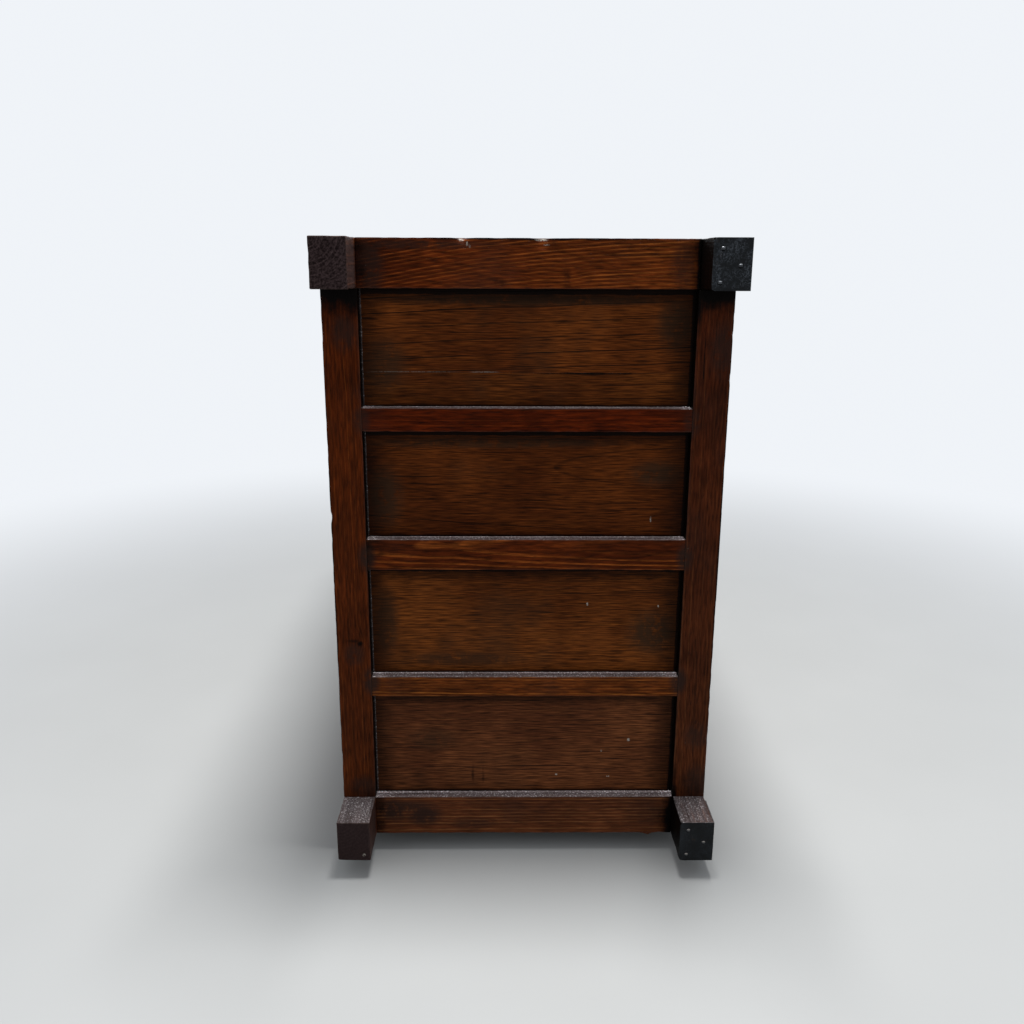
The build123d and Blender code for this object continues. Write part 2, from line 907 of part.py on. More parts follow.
def sliding_door(side):
    """Frame of two stiles and two rails, with a thin panel behind upright bars."""
    x0 = door_left_x[side]
    x1 = x0 + door_width
    y = door_face(side)
    inner_x0, inner_x1 = x0 + door_stile_width, x1 - door_stile_width
    inner_z0, inner_z1 = door_low + door_rail_height, door_high - door_rail_height
    panel_y = y + door_panel_inset
    tuck = door_panel_tuck - groove_play
    panel = block(
        inner_x0 - tuck,
        inner_x1 + tuck,
        panel_y,
        panel_y + door_panel_thickness,
        inner_z0 - tuck,
        inner_z1 + tuck,
    )
    groove = block(
        inner_x0 - door_panel_tuck,
        inner_x1 + door_panel_tuck,
        panel_y - groove_play,
        panel_y + door_panel_thickness + groove_play,
        inner_z0 - door_panel_tuck,
        inner_z1 + door_panel_tuck,
    )
    frame = [
        door_stile(side, x0),
        door_stile(side, inner_x1),
        door_cross_rail(side, inner_x0, inner_x1, door_low, inner_z0, door_tongue_low, door_low),
        door_cross_rail(side, inner_x0, inner_x1, inner_z1, door_high, door_high, door_tongue_high),
    ]
    pocket = rod(
        pull_radius + pull_pocket_play,
        (pull_place(side), y - overrun, pull_level()),
        (pull_place(side), y + pull_pocket_depth, pull_level()),
    )
    bars = []
    for place in range(door_bar_count):
        middle = inner_x0 + (inner_x1 - inner_x0) * (place + 1) / (door_bar_count + 1)
        bars.append(
            block(
                middle - door_bar_width / 2,
                middle + door_bar_width / 2,
                y + door_bar_inset,
                panel_y,
                inner_z0,
                inner_z1,
            )
        )
    return node(*[piece - groove - pocket for piece in frame], panel, *bars)


def pull_place(side):
    """The x of a finger pull, in the middle of the stile beside the post."""
    if side == "left":
        return door_left_x[side] + door_stile_width / 2
    return door_left_x[side] + door_width - door_stile_width / 2


def pull_level():
    return (door_low + door_high) / 2


def door_irons(side):
    """Round finger pull and corner plates of one sliding door."""
    x, y, z = pull_place(side), door_face(side), pull_level()
    pull = rod(pull_radius + pull_rim, (x, y - pull_wall, z), (x, y, z))
    pull += rod(pull_radius, (x, y - pull_wall, z), (x, y + pull_depth, z))
    hollow_radius = pull_radius - pull_wall
    pull -= rod(hollow_radius, (x, y - pull_wall - overrun, z), (x, y + pull_depth - pull_wall, z))
    x0 = door_left_x[side]
    return node(pull, *corner_irons(x0, x0 + door_width, door_low, door_high, y))


# Drawers, as the left and right limits, the floor and the clear height of each opening

drawer_openings = {
    "left": (-half_opening, divider_left, lower_rail_top, third_tier_height),
    "right": (divider_right, half_opening, lower_rail_top, third_tier_height),
    "wide": (-half_opening, locker_divider_left, base_top, bottom_tier_height),
}


def drawer_limits(name):
    """The outer limits of a drawer front in its opening."""
    x0, x1, z, height = drawer_openings[name]
    z0, z1 = z + drawer_seat_gap, z + height - drawer_top_play
    return x0 + drawer_side_play, x1 - drawer_side_play, z0, z1


def drawer(name):
    """Drawer with a thick front, two sides, a back and a bottom."""
    x0, x1, z0, z1 = drawer_limits(name)
    y0 = row_y("front", 0)
    y1 = y0 + drawer_front_thickness
    y2 = y0 + drawer_length
    y3 = y2 - drawer_side_thickness
    inner_x0, inner_x1 = x0 + drawer_side_thickness, x1 - drawer_side_thickness
    side_z1 = z1 - drawer_side_drop
    bottom_z0 = z0 + drawer_bottom_raise
    return node(
        block(x0, x1, y0, y1, z0, z1),
        block(x0, inner_x0, y1, y2, z0, side_z1),
        block(inner_x1, x1, y1, y2, z0, side_z1),
        block(inner_x0, inner_x1, y3, y2, z0, side_z1),
        block(inner_x0, inner_x1, y1, y3, bottom_z0, bottom_z0 + drawer_bottom_thickness),
    )


def drawer_bail_place(name):
    """The middle of the plate behind a drawer's bail."""
    x0, x1, z0, z1 = drawer_limits(name)
    return (x0 + x1) / 2, (z0 + z1) / 2, row_y("front", 0)


def drawer_irons(name):
    plates = corner_irons(*drawer_limits(name), row_y("front", 0))
    return node(*bail_plate(*drawer_bail_place(name)), *plates)


# Locker door

locker_x0 = locker_left + locker_door_play
locker_x1 = half_opening - locker_door_play
locker_z0 = base_top + locker_door_play
locker_z1 = lower_rail_bottom - locker_door_play
hinge_x = half_opening - locker_door_play / 2
hinge_y = row_y("front", 0) - knuckle_radius - knuckle_stand
hinge_levels = (base_top + hinge_low_place, lower_rail_bottom - hinge_high_place)


def locker_door():
    """Board door with an upright clamp along each side."""
    y0, y1 = row_y("front", 0), row_y("front", locker_door_thickness)
    board_x0, board_x1 = locker_x0 + locker_clamp_width, locker_x1 - locker_clamp_width
    return node(
        block(locker_x0, board_x0, y0, y1, locker_z0, locker_z1),
        block(board_x0, board_x1, y0, y1, locker_z0, locker_z1),
        block(board_x1, locker_x1, y0, y1, locker_z0, locker_z1),
    )


def knuckle(z0, z1):
    return rod(knuckle_radius, (hinge_x, hinge_y, z0), (hinge_x, hinge_y, z1))


def hinge_plate(x_far, z0, z1):
    """Flat part of a hinge, from the knuckle's line to its far end."""
    y1 = row_y("front", 0)
    return block(hinge_x, x_far, y1 - iron_thickness, y1, z0, z1)


def locker_bail_place():
    return locker_x0 + locker_bail_edge, (locker_z0 + locker_z1) / 2, row_y("front", 0)


def locker_door_irons():
    """Hinge straps, each with the middle knuckle, and the plate for the bail."""
    pieces = list(bail_plate(*locker_bail_place()))
    nail_y = row_y("front", 0) - iron_thickness
    third = hinge_height / 3
    for z in hinge_levels:
        z0, z1 = z - third / 2 + hinge_gap, z + third / 2 - hinge_gap
        flange_end = hinge_x - 2 * knuckle_radius
        strap_end = hinge_x - hinge_strap_length
        y1 = row_y("front", 0)
        strap = block(
            flange_end,
            strap_end,
            y1 - iron_thickness,
            y1,
            z - hinge_height / 2,
            z + hinge_height / 2,
        )
        strap += hinge_plate(flange_end, z0, z1)
        strap += knuckle(z0, z1)
        strap -= rod(
            hinge_pin_radius + hinge_pin_play,
            (hinge_x, hinge_y, z - hinge_height),
            (hinge_x, hinge_y, z + hinge_height),
        )
        pieces.append(strap)
        for nail_x in (flange_end - hinge_nail_edge, strap_end + hinge_nail_edge):
            pieces.append(small_nail(nail_x, nail_y, z))
    return node(*pieces)


def hinge_leaves():
    """Leaves nailed on the post, each with its two outer knuckles and the pin."""
    pieces = []
    nail_y = row_y("front", 0) - iron_thickness
    third = hinge_height / 3
    for z in hinge_levels:
        low, high = z - hinge_height / 2, z + hinge_height / 2
        flange_end = hinge_x + 2 * knuckle_radius
        leaf_end = hinge_x + hinge_leaf_length
        leaf = rod(hinge_pin_radius, (hinge_x, hinge_y, low), (hinge_x, hinge_y, high))
        y1 = row_y("front", 0)
        leaf += block(flange_end, leaf_end, y1 - iron_thickness, y1, low, high)
        for z0, z1 in ((low, z - third / 2), (z + third / 2, high)):
            leaf += knuckle(z0, z1)
            leaf += hinge_plate(flange_end, z0, z1)
        pieces.append(leaf)
        for nail_z in (low + hinge_nail_edge / 2, high - hinge_nail_edge / 2):
            pieces.append(small_nail(leaf_end - hinge_nail_edge, nail_y, nail_z))
    return node(*pieces)


# Iron plates and nails of the case


def beam_cap(side, z0, z1):
    """Plate bent round the front end of a beam, over its end and its front face."""
    sign = side_sign[side]
    end = sign * beam_end
    y0 = row_y("front", 0) - iron_thickness
    end_leg = block(end, end + sign * iron_thickness, y0, row_y("front", beam_depth), z0, z1)
    inner_edges = end_leg.edges().filter_by(Axis.X).sort_by(Axis.Y)[-2:]
    end_leg = fillet(inner_edges, cap_corner_radius)
    front_end = end - sign * cap_front_length
    front_leg = block(front_end, end, y0, row_y("front", 0), z0, z1)
    far_edges = front_leg.edges().filter_by(Axis.Y).sort_by(Axis.X)
    far_edges = far_edges[:2] if sign > 0 else far_edges[-2:]
    front_leg = fillet(far_edges, cap_corner_radius)
    return end_leg + front_leg


def cap_nails(side, z0, z1):
    """Three nails on the end of a cap and four on its front."""
    sign = side_sign[side]
    end = sign * (beam_end + iron_thickness)
    nails = []
    for depth_share, height_share in cap_nail_end_shares:
        y = row_y("front", beam_depth * (1 - depth_share))
        point = (end, y, z0 + (z1 - z0) * height_share)
        nails.append(case_nail(point, (sign, 0, 0)))
    y = row_y("front", 0) - iron_thickness
    for length_share, height_share in cap_nail_front_shares:
        x = sign * (beam_end - cap_front_length * length_share)
        nails.append(case_nail((x, y, z0 + (z1 - z0) * height_share), (0, -1, 0)))
    return nails


def strap_levels():
    """Lowest and highest point of each post strap, and the middle of its arm."""
    return (
        (base_top - strap_on_beam, base_top + base_strap_rise, base_top - strap_on_beam / 2),
        (
            middle_rail_bottom - middle_strap_drop,
            middle_rail_top + middle_strap_rise,
            (middle_rail_bottom + middle_rail_top) / 2,
        ),
        (
            top_beam_bottom - top_strap_drop,
            top_beam_bottom + strap_on_beam,
            top_beam_bottom + strap_on_beam / 2,
        ),
    )


def post_strap(side, z0, z1, arm_z):
    """Plate up a front post, with an arm across the rail or beam beside it."""
    y1 = row_y("front", 0)
    y0 = y1 - iron_thickness
    x0, x1 = side_x(side, strap_margin), side_x(side, post_thickness - strap_margin)
    x2 = side_x(side, post_thickness + strap_arm_reach)
    plate = block(x0, x1, y0, y1, z0, z1)
    plate += block(x1, x2, y0, y1, arm_z - strap_arm_height / 2, arm_z + strap_arm_height / 2)
    tips = plate.edges().filter_by(Axis.Y).sort_by(Axis.X)
    tips = tips[:2] if side == "right" else tips[-2:]
    return fillet(tips, strap_corner_radius)


def strap_nails(side, z0, z1, arm_z):
    """Nails near the ends of a post strap and of its arm."""
    y = row_y("front", 0) - iron_thickness
    middle_x = side_x(side, post_thickness / 2)
    arm_x = side_x(side, post_thickness + strap_arm_reach - strap_nail_edge)
    places = (
        (middle_x, z0 + strap_nail_edge),
        (middle_x, arm_z),
        (middle_x, z1 - strap_nail_edge),
        (arm_x, arm_z),
    )
    return [case_nail((x, y, z), (0, -1, 0)) for x, z in places]


beam_levels = ((base_bottom, base_top), (top_beam_bottom, chest_top))


def beam_caps():
    return node(*[beam_cap(side, *levels) for side in side_sign for levels in beam_levels])


def post_straps():
    return node(*[post_strap(side, *levels) for side in side_sign for levels in strap_levels()])


def case_nails():
    nails = []
    for side in side_sign:
        for levels in beam_levels:
            nails.extend(cap_nails(side, *levels))
        for levels in strap_levels():
            nails.extend(strap_nails(side, *levels))
    return node(*nails)


# Every node by its name


def all_nodes():
    nodes = {}
    for row in row_face:
        nodes[f"beam_top_{row}"] = top_beam(row)
        nodes[f"beam_base_{row}"] = base_beam(row)
        for side in side_sign:
            nodes[f"post_{row}_{side}"] = post(row, side)
            nodes[f"wheel_{row}_{side}"] = wheel(row, side)
    for side in side_sign:
        nodes[f"end_rail_top_{side}"] = top_end_rail(side)
        nodes[f"end_rail_base_{side}"] = base_end_rail(side)
        for level in rail_levels:
            nodes[f"end_rail_{level}_{side}"] = end_rail(side, level)
        nodes[f"end_panels_{side}"] = end_panels(side)
        nodes[f"axle_{side}"] = axle(side)
        nodes[f"sliding_door_{side}"] = sliding_door(side)
        nodes[f"door_irons_{side}"] = door_irons(side)
    for name in drawer_openings:
        nodes[f"drawer_{name}"] = drawer(name)
        nodes[f"drawer_irons_{name}"] = drawer_irons(name)
        nodes[f"drawer_bail_{name}"] = bail(*drawer_bail_place(name))
    nodes["front_rail_lower"] = front_rail("lower")
    nodes["front_rail_middle"] = front_rail("middle")
    nodes["top_boards"] = top_boards()
    nodes["compartment_shelf"] = deck("upper")
    nodes["middle_deck"] = deck("middle")
    nodes["lower_deck"] = deck("lower")
    nodes["floor_boards"] = floor_boards()
    nodes["floor_joists"] = floor_joists()
    nodes["back_boards"] = back_boards()
    nodes["drawer_partition"] = drawer_partition()
    nodes["locker_partition"] = locker_partition()
    nodes["drawer_runners"] = drawer_runners()
    nodes["axle_blocks"] = axle_blocks()
    nodes["axle_washers"] = axle_washers()
    nodes["locker_door"] = locker_door()
    nodes["locker_door_irons"] = locker_door_irons()
    nodes["locker_bail"] = bail(*locker_bail_place())
    nodes["locker_hinge_leaves"] = hinge_leaves()
    nodes["beam_caps"] = beam_caps()
    nodes["post_straps"] = post_straps()
    nodes["case_nails"] = case_nails()
    return nodes


os.makedirs("parts", exist_ok=True)
for node_name, shape in all_nodes().items():
    export_step(shape, f"parts/{node_name}.step")
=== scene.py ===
import json
import math
import random

import bmesh
import bpy
from mathutils import Matrix, Vector, noise

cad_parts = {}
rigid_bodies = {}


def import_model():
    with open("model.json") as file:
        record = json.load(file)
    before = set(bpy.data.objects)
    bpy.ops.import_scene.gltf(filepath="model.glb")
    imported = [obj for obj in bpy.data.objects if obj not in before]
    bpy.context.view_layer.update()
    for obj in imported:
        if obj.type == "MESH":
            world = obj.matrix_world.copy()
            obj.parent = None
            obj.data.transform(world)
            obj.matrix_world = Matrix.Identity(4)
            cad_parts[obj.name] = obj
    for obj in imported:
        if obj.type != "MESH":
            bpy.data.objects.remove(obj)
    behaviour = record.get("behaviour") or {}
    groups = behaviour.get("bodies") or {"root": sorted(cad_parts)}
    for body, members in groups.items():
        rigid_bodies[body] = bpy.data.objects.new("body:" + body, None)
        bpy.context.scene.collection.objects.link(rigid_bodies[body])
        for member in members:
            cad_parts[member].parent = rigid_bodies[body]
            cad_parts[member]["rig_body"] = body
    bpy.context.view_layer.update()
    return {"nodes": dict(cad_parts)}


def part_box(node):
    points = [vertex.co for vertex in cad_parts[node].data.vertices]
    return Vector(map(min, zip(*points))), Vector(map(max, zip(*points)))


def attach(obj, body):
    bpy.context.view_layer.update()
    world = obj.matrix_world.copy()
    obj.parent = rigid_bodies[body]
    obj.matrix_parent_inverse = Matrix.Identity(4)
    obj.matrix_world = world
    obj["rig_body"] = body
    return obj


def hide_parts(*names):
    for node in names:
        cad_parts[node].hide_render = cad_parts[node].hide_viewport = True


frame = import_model()

# Wheeled chest, seen at its left end. Metres, +Z up, the front faces -Y.
# The camera looks along +X at the end frame, so the photograph's right is -Y.

END_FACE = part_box("post_back_left")[0].x
PANEL_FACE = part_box("end_panels_left")[0].x
RAIL_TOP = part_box("end_rail_top_left")[1].z
BEAM_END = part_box("beam_base_back")[0].x
# The posts' outer faces and their inner ones, each at the front and at the back
OUTER_FACES, INNER_FACES = [
    (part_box("post_front_left")[i].y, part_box("post_back_left")[1 - i].y) for i in (0, 1)
]
BASE_RAIL_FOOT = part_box("end_rail_base_left")[0].z
BACK_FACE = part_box("post_back_left")[1].y

X, Y, Z = 0, 1, 2
RAIL_LEVELS = ("top", "base", "lower", "middle", "upper")


# Materials

# A Mix node has sockets for numbers, vectors and colours; these are those for colours
MIX_INPUTS, MIX_OUTPUT = (0, 6, 7), 2


class Nodes:
    """A material under construction, with a short call for each kind of node."""

    def __init__(self, name, roughness=0.5, specular=0.5, metallic=0.0):
        self.material = bpy.data.materials.new(name)
        self.material.use_nodes = True
        self.tree = self.material.node_tree
        self.shader = self.tree.nodes["Principled BSDF"]
        self.shader.inputs["Roughness"].default_value = roughness
        self.shader.inputs["Specular IOR Level"].default_value = specular
        self.shader.inputs["Metallic"].default_value = metallic
        self.place = self.add("TexCoord").outputs["Object"]

    def set(self, socket, value):
        """Links a socket to another node's output, or gives it a plain value."""
        if isinstance(value, bpy.types.NodeSocket):
            self.tree.links.new(value, socket)
        else:
            socket.default_value = value

    def add(self, kind, *values, **settings):
        """A new node with its first inputs filled in order."""
        node = self.tree.nodes.new("ShaderNode" + kind)
        for key, value in settings.items():
            setattr(node, key, value)
        for socket, value in zip(node.inputs, values):
            if value is not None:
                self.set(socket, value)
        return node

    def math(self, operation, *values):
        return self.add("Math", *values, operation=operation).outputs[0]

    def times(self, value, *others):
        for other in others:
            value = self.math("MULTIPLY", value, other)
        return value

    def scaled(self, value, factor, added):
        """A value times a factor, plus another value."""
        return self.math("MULTIPLY_ADD", value, factor, added)

    def centred(self, value):
        """A noise that lies about 0 instead of about 0.5."""
        return self.math("SUBTRACT", value, 0.5)

    def at_least(self, value, least):
        """A value from 0 to 1, pressed into the range from least to 1."""
        return self.scaled(value, 1.0 - least, least)

    def vector(self, x, y, z):
        return self.add("CombineXYZ", x, y, z).outputs[0]

    def split(self, vector):
        return self.add("SeparateXYZ", vector).outputs

    def attribute(self, name, output="Fac"):
        return self.add("Attribute", attribute_name=name).outputs[output]

    def noise(self, scale, detail=2.0, roughness=0.5, vector=None):
        """Noise over the object's own place, or over another vector."""
        node = self.add("TexNoise")
        self.set(node.inputs["Vector"], self.place if vector is None else vector)
        node.inputs["Scale"].default_value = scale
        node.inputs["Detail"].default_value = detail
        node.inputs["Roughness"].default_value = roughness
        return node.outputs["Fac"]

    def step(self, value, low, high):
        """0 below low, 1 above high, and smooth between; high may be below low."""
        node = self.add("MapRange", value, low, high, 0.0, 1.0, interpolation_type="SMOOTHSTEP")
        return node.outputs[0]

    def patches(self, scale, detail, roughness, low, high):
        """Noise turned into patches of 1 among 0, with a soft edge from low to high."""
        return self.step(self.noise(scale, detail, roughness), low, high)

    def length(self, vector):
        return self.add("VectorMath", vector, operation="LENGTH").outputs[1]

    def spots(self, marks, core):
        """Each mark's strength in the core of an ellipsoid round its centre, 0 outside it."""
        total = 0.0
        for centre, reach, strength in marks:
            away = self.add("VectorMath", self.place, centre, operation="SUBTRACT").outputs[0]
            away = self.add("VectorMath", away, reach, operation="DIVIDE").outputs[0]
            spot = self.times(self.step(self.length(away), 1.0, core), strength)
            total = self.math("MAXIMUM", total, spot)
        return total

    def powder(self, depth):
        """The colour of settled dust: pale grains on a darker film, more of them where deep."""
        grains = self.times(self.patches(*DUST_GRAINS), self.step(depth, *DUST_GRAIN_BAND))
        dust = self.mix(grains, DUST_FILM, DUST_GRAIN)
        return self.mix(1.0, dust, self.vector(depth, depth, depth), "MULTIPLY")

    def mix(self, factor, first, second, mode="MIX"):
        node = self.add("Mix", data_type="RGBA", blend_type=mode)
        for place, value in zip(MIX_INPUTS, (factor, colour(first), colour(second))):
            self.set(node.inputs[place], value)
        return node.outputs[MIX_OUTPUT]

    def bump(self, height, distance):
        node = self.add("Bump")
        node.inputs["Strength"].default_value = 1.0
        node.inputs["Distance"].default_value = distance
        self.set(node.inputs["Height"], height)
        self.set(self.shader.inputs["Normal"], node.outputs[0])

    def finish(self, base, roughness=None):
        self.set(self.shader.inputs["Base Color"], base)
        if roughness is not None:
            self.set(self.shader.inputs["Roughness"], roughness)
        return self.material


def colour(value):
    """Gives a plain colour its fourth number."""
    if isinstance(value, tuple) and len(value) == 3:
        return (*value, 1.0)
    return value


BACKGROUND = (0.87, 0.90, 0.94, 1.0)
DUST_FILM = (0.078, 0.064, 0.064)
DUST_GRAIN = (0.46, 0.43, 0.43)
PALE_MARK = (0.33, 0.30, 0.26)
# The colour of dark dirt and dark seams, and of painted shade beside panels and on undersides
GRIME_AND_SHADE = (0.0022, 0.0014, 0.0011)

# How far a mark reaches into the frame or a panel, past the face that it lies on
FRAME_MARK_DEPTH, PANEL_MARK_DEPTH = 0.03, 0.01
BEAM_SHADOW_REACH = (0.220, 0.014, 0.160)
BEAM_SHADOW_STRENGTH = 1.3


def on_end(y, z, reach_y, reach_z, strength=1.0):
    """A mark on the near end frame: its centre, how far it reaches and how strong it is."""
    return (END_FACE, y, z), (FRAME_MARK_DEPTH, reach_y, reach_z), strength


def on_panel(y, z, reach_y, reach_z, strength=1.0):
    """A mark on a panel of the near end, which lies deeper than the frame."""
    return (PANEL_FACE, y, z), (PANEL_MARK_DEPTH, reach_y, reach_z), strength


def beam_shadow(name):
    """The painted shadow on a front beam's inner side, where it stands out past the near end.
    """
    low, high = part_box(name)
    centre = ((low.x + END_FACE) / 2, high.y, (low.z + high.z) / 2)
    return centre, BEAM_SHADOW_REACH, BEAM_SHADOW_STRENGTH


# Knots that the growth lines bend round
KNOTS = (
    on_end(-0.047, 0.994, 0.040, 0.026, 0.35),
    on_end(0.292, 0.396, 0.026, 0.034, 0.8),
    on_end(-0.278, 0.219, 0.024, 0.045, 0.8),
)
# Dark stains, painted shadow on the front beams' inner sides and along the top rail's top edge,
# the black outer edges of the posts and the crack between two boards
STAINS_AND_SHADOWS = (
    *(beam_shadow(f"beam_{level}_front") for level in ("top", "base")),
    on_end(-0.047, 0.990, 0.014, 0.038, 0.55),
    on_end(0.054, 0.980, 0.040, 0.011, 0.5),
    on_end(0.286, 0.393, 0.010, 0.009, 0.8),
    on_end(0.300, 0.398, 0.022, 0.006, 0.7),
    on_end(-0.262, 0.858, 0.0020, 0.070, 0.9),
    on_end(-0.285, 0.245, 0.020, 0.006, 0.4),
    # Painted shade along the top rail's top edge
    on_end(0.0, RAIL_TOP, 0.400, 0.0060, 1.1),
    *(on_end(y, 0.550, 0.0045, 0.560, 0.95) for y in OUTER_FACES),
    on_panel(-0.090, 0.8405, 0.170, 0.0026, 0.95),
    on_panel(0.1008, 0.137, 0.0050, 0.036, 0.62),
    on_panel(0.0830, 0.138, 0.0055, 0.034, 0.66),
    on_panel(0.130, 0.104, 0.080, 0.006, 0.8),
)
# The heights at which rails meet the posts, and how smoky each place is
RAIL_JOINTS = ((0.768, 0.7), (0.544, 1.0), (0.325, 1.0))
# Where a purple-grey smoke has settled in the lacquer, and painted shadow bands under two rails
SMOKE_AND_SHADOW = (
    *(on_end(y, z, 0.020, 0.034, s) for z, s in RAIL_JOINTS for y in INNER_FACES),
    on_end(0.290, 0.125, 0.036, 0.030, 0.8),
    on_end(-0.290, 0.130, 0.036, 0.050, 0.8),
    on_end(0.297, 0.374, 0.024, 0.030, 0.7),
    on_end(-0.285, 0.222, 0.032, 0.034, 0.7),
    on_end(0.252, 1.004, 0.034, 0.060, 0.9),
    on_end(-0.225, 1.006, 0.030, 0.050, 0.7),
    on_end(0.190, 1.034, 0.200, 0.010, 0.7),
    on_end(0.250, 0.810, 0.040, 0.030, 0.7),
    on_end(0.292, 0.905, 0.030, 0.040, 0.8),
    on_end(-0.292, 0.880, 0.034, 0.060, 0.8),
    on_end(0.240, 0.080, 0.040, 0.032, 1.0),
    on_end(0.188, 0.070, 0.044, 0.030, 1.0),
    on_end(0.212, 0.084, 0.066, 0.020, 0.9),
    on_end(0.100, 0.052, 0.055, 0.016, 0.6),
    on_end(-0.215, 0.076, 0.034, 0.040, 0.5),
    # Painted shadow bands under the top rail and under the upper rail
    on_panel(0.0, 0.953, 0.340, 0.013, 0.95),
    on_panel(0.060, 0.730, 0.280, 0.013, 0.8),
    on_panel(-0.222, 0.918, 0.046, 0.060, 0.9),
    on_panel(0.236, 0.853, 0.050, 0.060, 0.8),
    on_panel(-0.200, 0.680, 0.060, 0.030, 0.9),
    on_panel(0.240, 0.640, 0.040, 0.070, 0.9),
    on_panel(-0.205, 0.405, 0.060, 0.055, 1.0),
    on_panel(0.110, 0.357, 0.150, 0.020, 0.8),
    on_panel(0.245, 0.420, 0.030, 0.090, 0.8),
    on_panel(0.170, 0.205, 0.060, 0.030, 0.6),
)
# Pale chips and specks, dust in the crack, and the nail in the back base beam's end
MARKS = (
    on_end(0.112, 1.041, 0.006, 0.003, 0.8),
    on_end(0.103, 1.035, 0.002, 0.005, 0.6),
    on_end(0.099, 1.032, 0.002, 0.004, 0.5),
    on_end(-0.008, 1.041, 0.012, 0.002),
    on_end(-0.016, 1.034, 0.006, 0.0016, 0.4),
    ((BEAM_END, 0.2818, 0.0440), (PANEL_MARK_DEPTH, 0.0036, 0.0036), 0.8),
    on_panel(-0.193, 0.603, 0.0015, 0.006),
    on_panel(-0.124, 0.750, 0.0030, 0.0024),
    on_panel(-0.093, 0.456, 0.0024, 0.0034),
    on_panel(-0.212, 0.452, 0.0016, 0.0030),
    on_panel(0.078, 0.8425, 0.028, 0.0013, 0.4),
    on_panel(0.190, 0.8427, 0.085, 0.0010, 0.25),
    on_panel(-0.046, 0.137, 0.0026, 0.0022),
    on_panel(-0.171, 0.204, 0.0030, 0.0040),
    on_panel(-0.124, 0.183, 0.0017, 0.0024),
    on_panel(-0.137, 0.133, 0.0034, 0.0018),
)


# A noise's scale per metre, its detail and its roughness
BLOTCH_NOISE = (38.0, 4.0, 0.65)
# The same for patches, with the band in which the noise turns from 0 to 1
END_SPECKLE = (330.0, 3.0, 0.7, 0.38, 0.66)
SMOKE_AND_SHADOW_EDGE = (62.0, 4.0, 0.7, 0.26, 0.52)
HAZE = (7.0, 3.0, 0.6, 0.5, 0.75)
FILM_PATCHES = (24.0, 5.0, 0.7, 0.3, 0.6)
DUST_GRAINS = (360.0, 3.0, 0.75, 0.53, 0.68)
CHIP_GRAINS = (420.0, 2.0, 0.5, 0.35, 0.55)
# A noise's scale along and across the grain, and its detail
RIPPLE_NOISE = (13.0, 26.0, 1.0)
SWEPT_NOISE = (9.0, 240.0, 3.0)
# The same for stripes, with their band
LINE_BREAKS = (13.0, 150.0, 2.0, 0.3, 0.6)
WANDER_ALONG = 1.6
# Bands in which other values turn from 0 to 1
STREAK_BAND = (0.48, 0.72)
PORE_BAND = (0.60, 0.72)
STAIN_BAND = (0.35, 0.68)
GRIME_AND_SHADE_BAND = (0.15, 1.05)
UNDERSIDE_SHADE_BAND = (-0.25, -0.60)
FACING_UP_BAND = (0.90, 0.985)
SEAM_BAND = (0.0022, 0.0008)
LINE_START_BAND = (0.0, 0.0006)
CORNER_DUST_BAND = (0.0026, 0.0014)
RUBBED_BAND = (0.1, 0.6)
CLEAN_BAND = (0.8, 0.2)
BESIDE_PANEL_BAND = (0.0085, 0.0040)
DEEP_DUST_BAND = (1.8, 2.4)
SPECK_BAND = (0.028, 0.014)
CHOSEN_BAND = (0.90, 0.93)
# How much of a spot is at full strength, from its middle out
KNOT_CORE, SMOKE_AND_SHADOW_CORE, STAIN_AND_SHADOW_CORE, MARK_CORE = 0.0, 0.3, 0.1, 0.5
# How pale a board's end is: its rings and speckle, and where it is calm
RING_SHARE, CALM_END = 0.55, 0.17
# How far worn wood reaches from an edge, and how ragged its outline is
WORN_REACH, WORN_RAGGED = 0.0024, 0.006
CORNER_DUST, CORNER_DUST_DEPTH, CORNER_DUST_RAGGED = 0.8, 1.6, 0.0016
SPECKS_PER_METRE = 24.0
# The least of what varies with place: a broken line, a rubbed edge and a film of dust
BROKEN_LEAST, RUBBED_LEAST, FILM_LEAST = 0.35, 0.15, 0.7
# The fibres' contrast on lively and on calm wood
LIVELY_FIBRE, CALM_FIBRE = 2.0, 0.7
# What multiplies a noise and what is added to it
SWEPT_DUST, DRIFTED_DUST = (2.2, -0.1), (1.5, -0.28)
GRIME_AND_SHADE_RAGGED, FAINT_GRIME_AND_SHADE_BAND = 1.3, (0.0, 0.25)
DUST_GRAIN_BAND = (0.4, 1.2)
LINE_RELIEF, FIBRE_RELIEF, PORE_RELIEF = 0.35, 0.5, 0.6
DUST_ROUGHNESS, UNEVEN_ROUGHNESS = 0.4, 0.25

# Painted shade on a panel beside its frame: the side, dark up to here, clear from here,
# strength
RECESS_SHADE = (
    ("over", 0.0080, 0.0115, 0.97),
    ("over", 0.0130, 0.0290, 0.62),
    ("front", 0.0035, 0.0080, 0.96),
    ("front", 0.0050, 0.0600, 0.62),
    ("back", 0.0050, 0.0500, 0.60),
    ("under", 0.0015, 0.0060, 0.75),
)


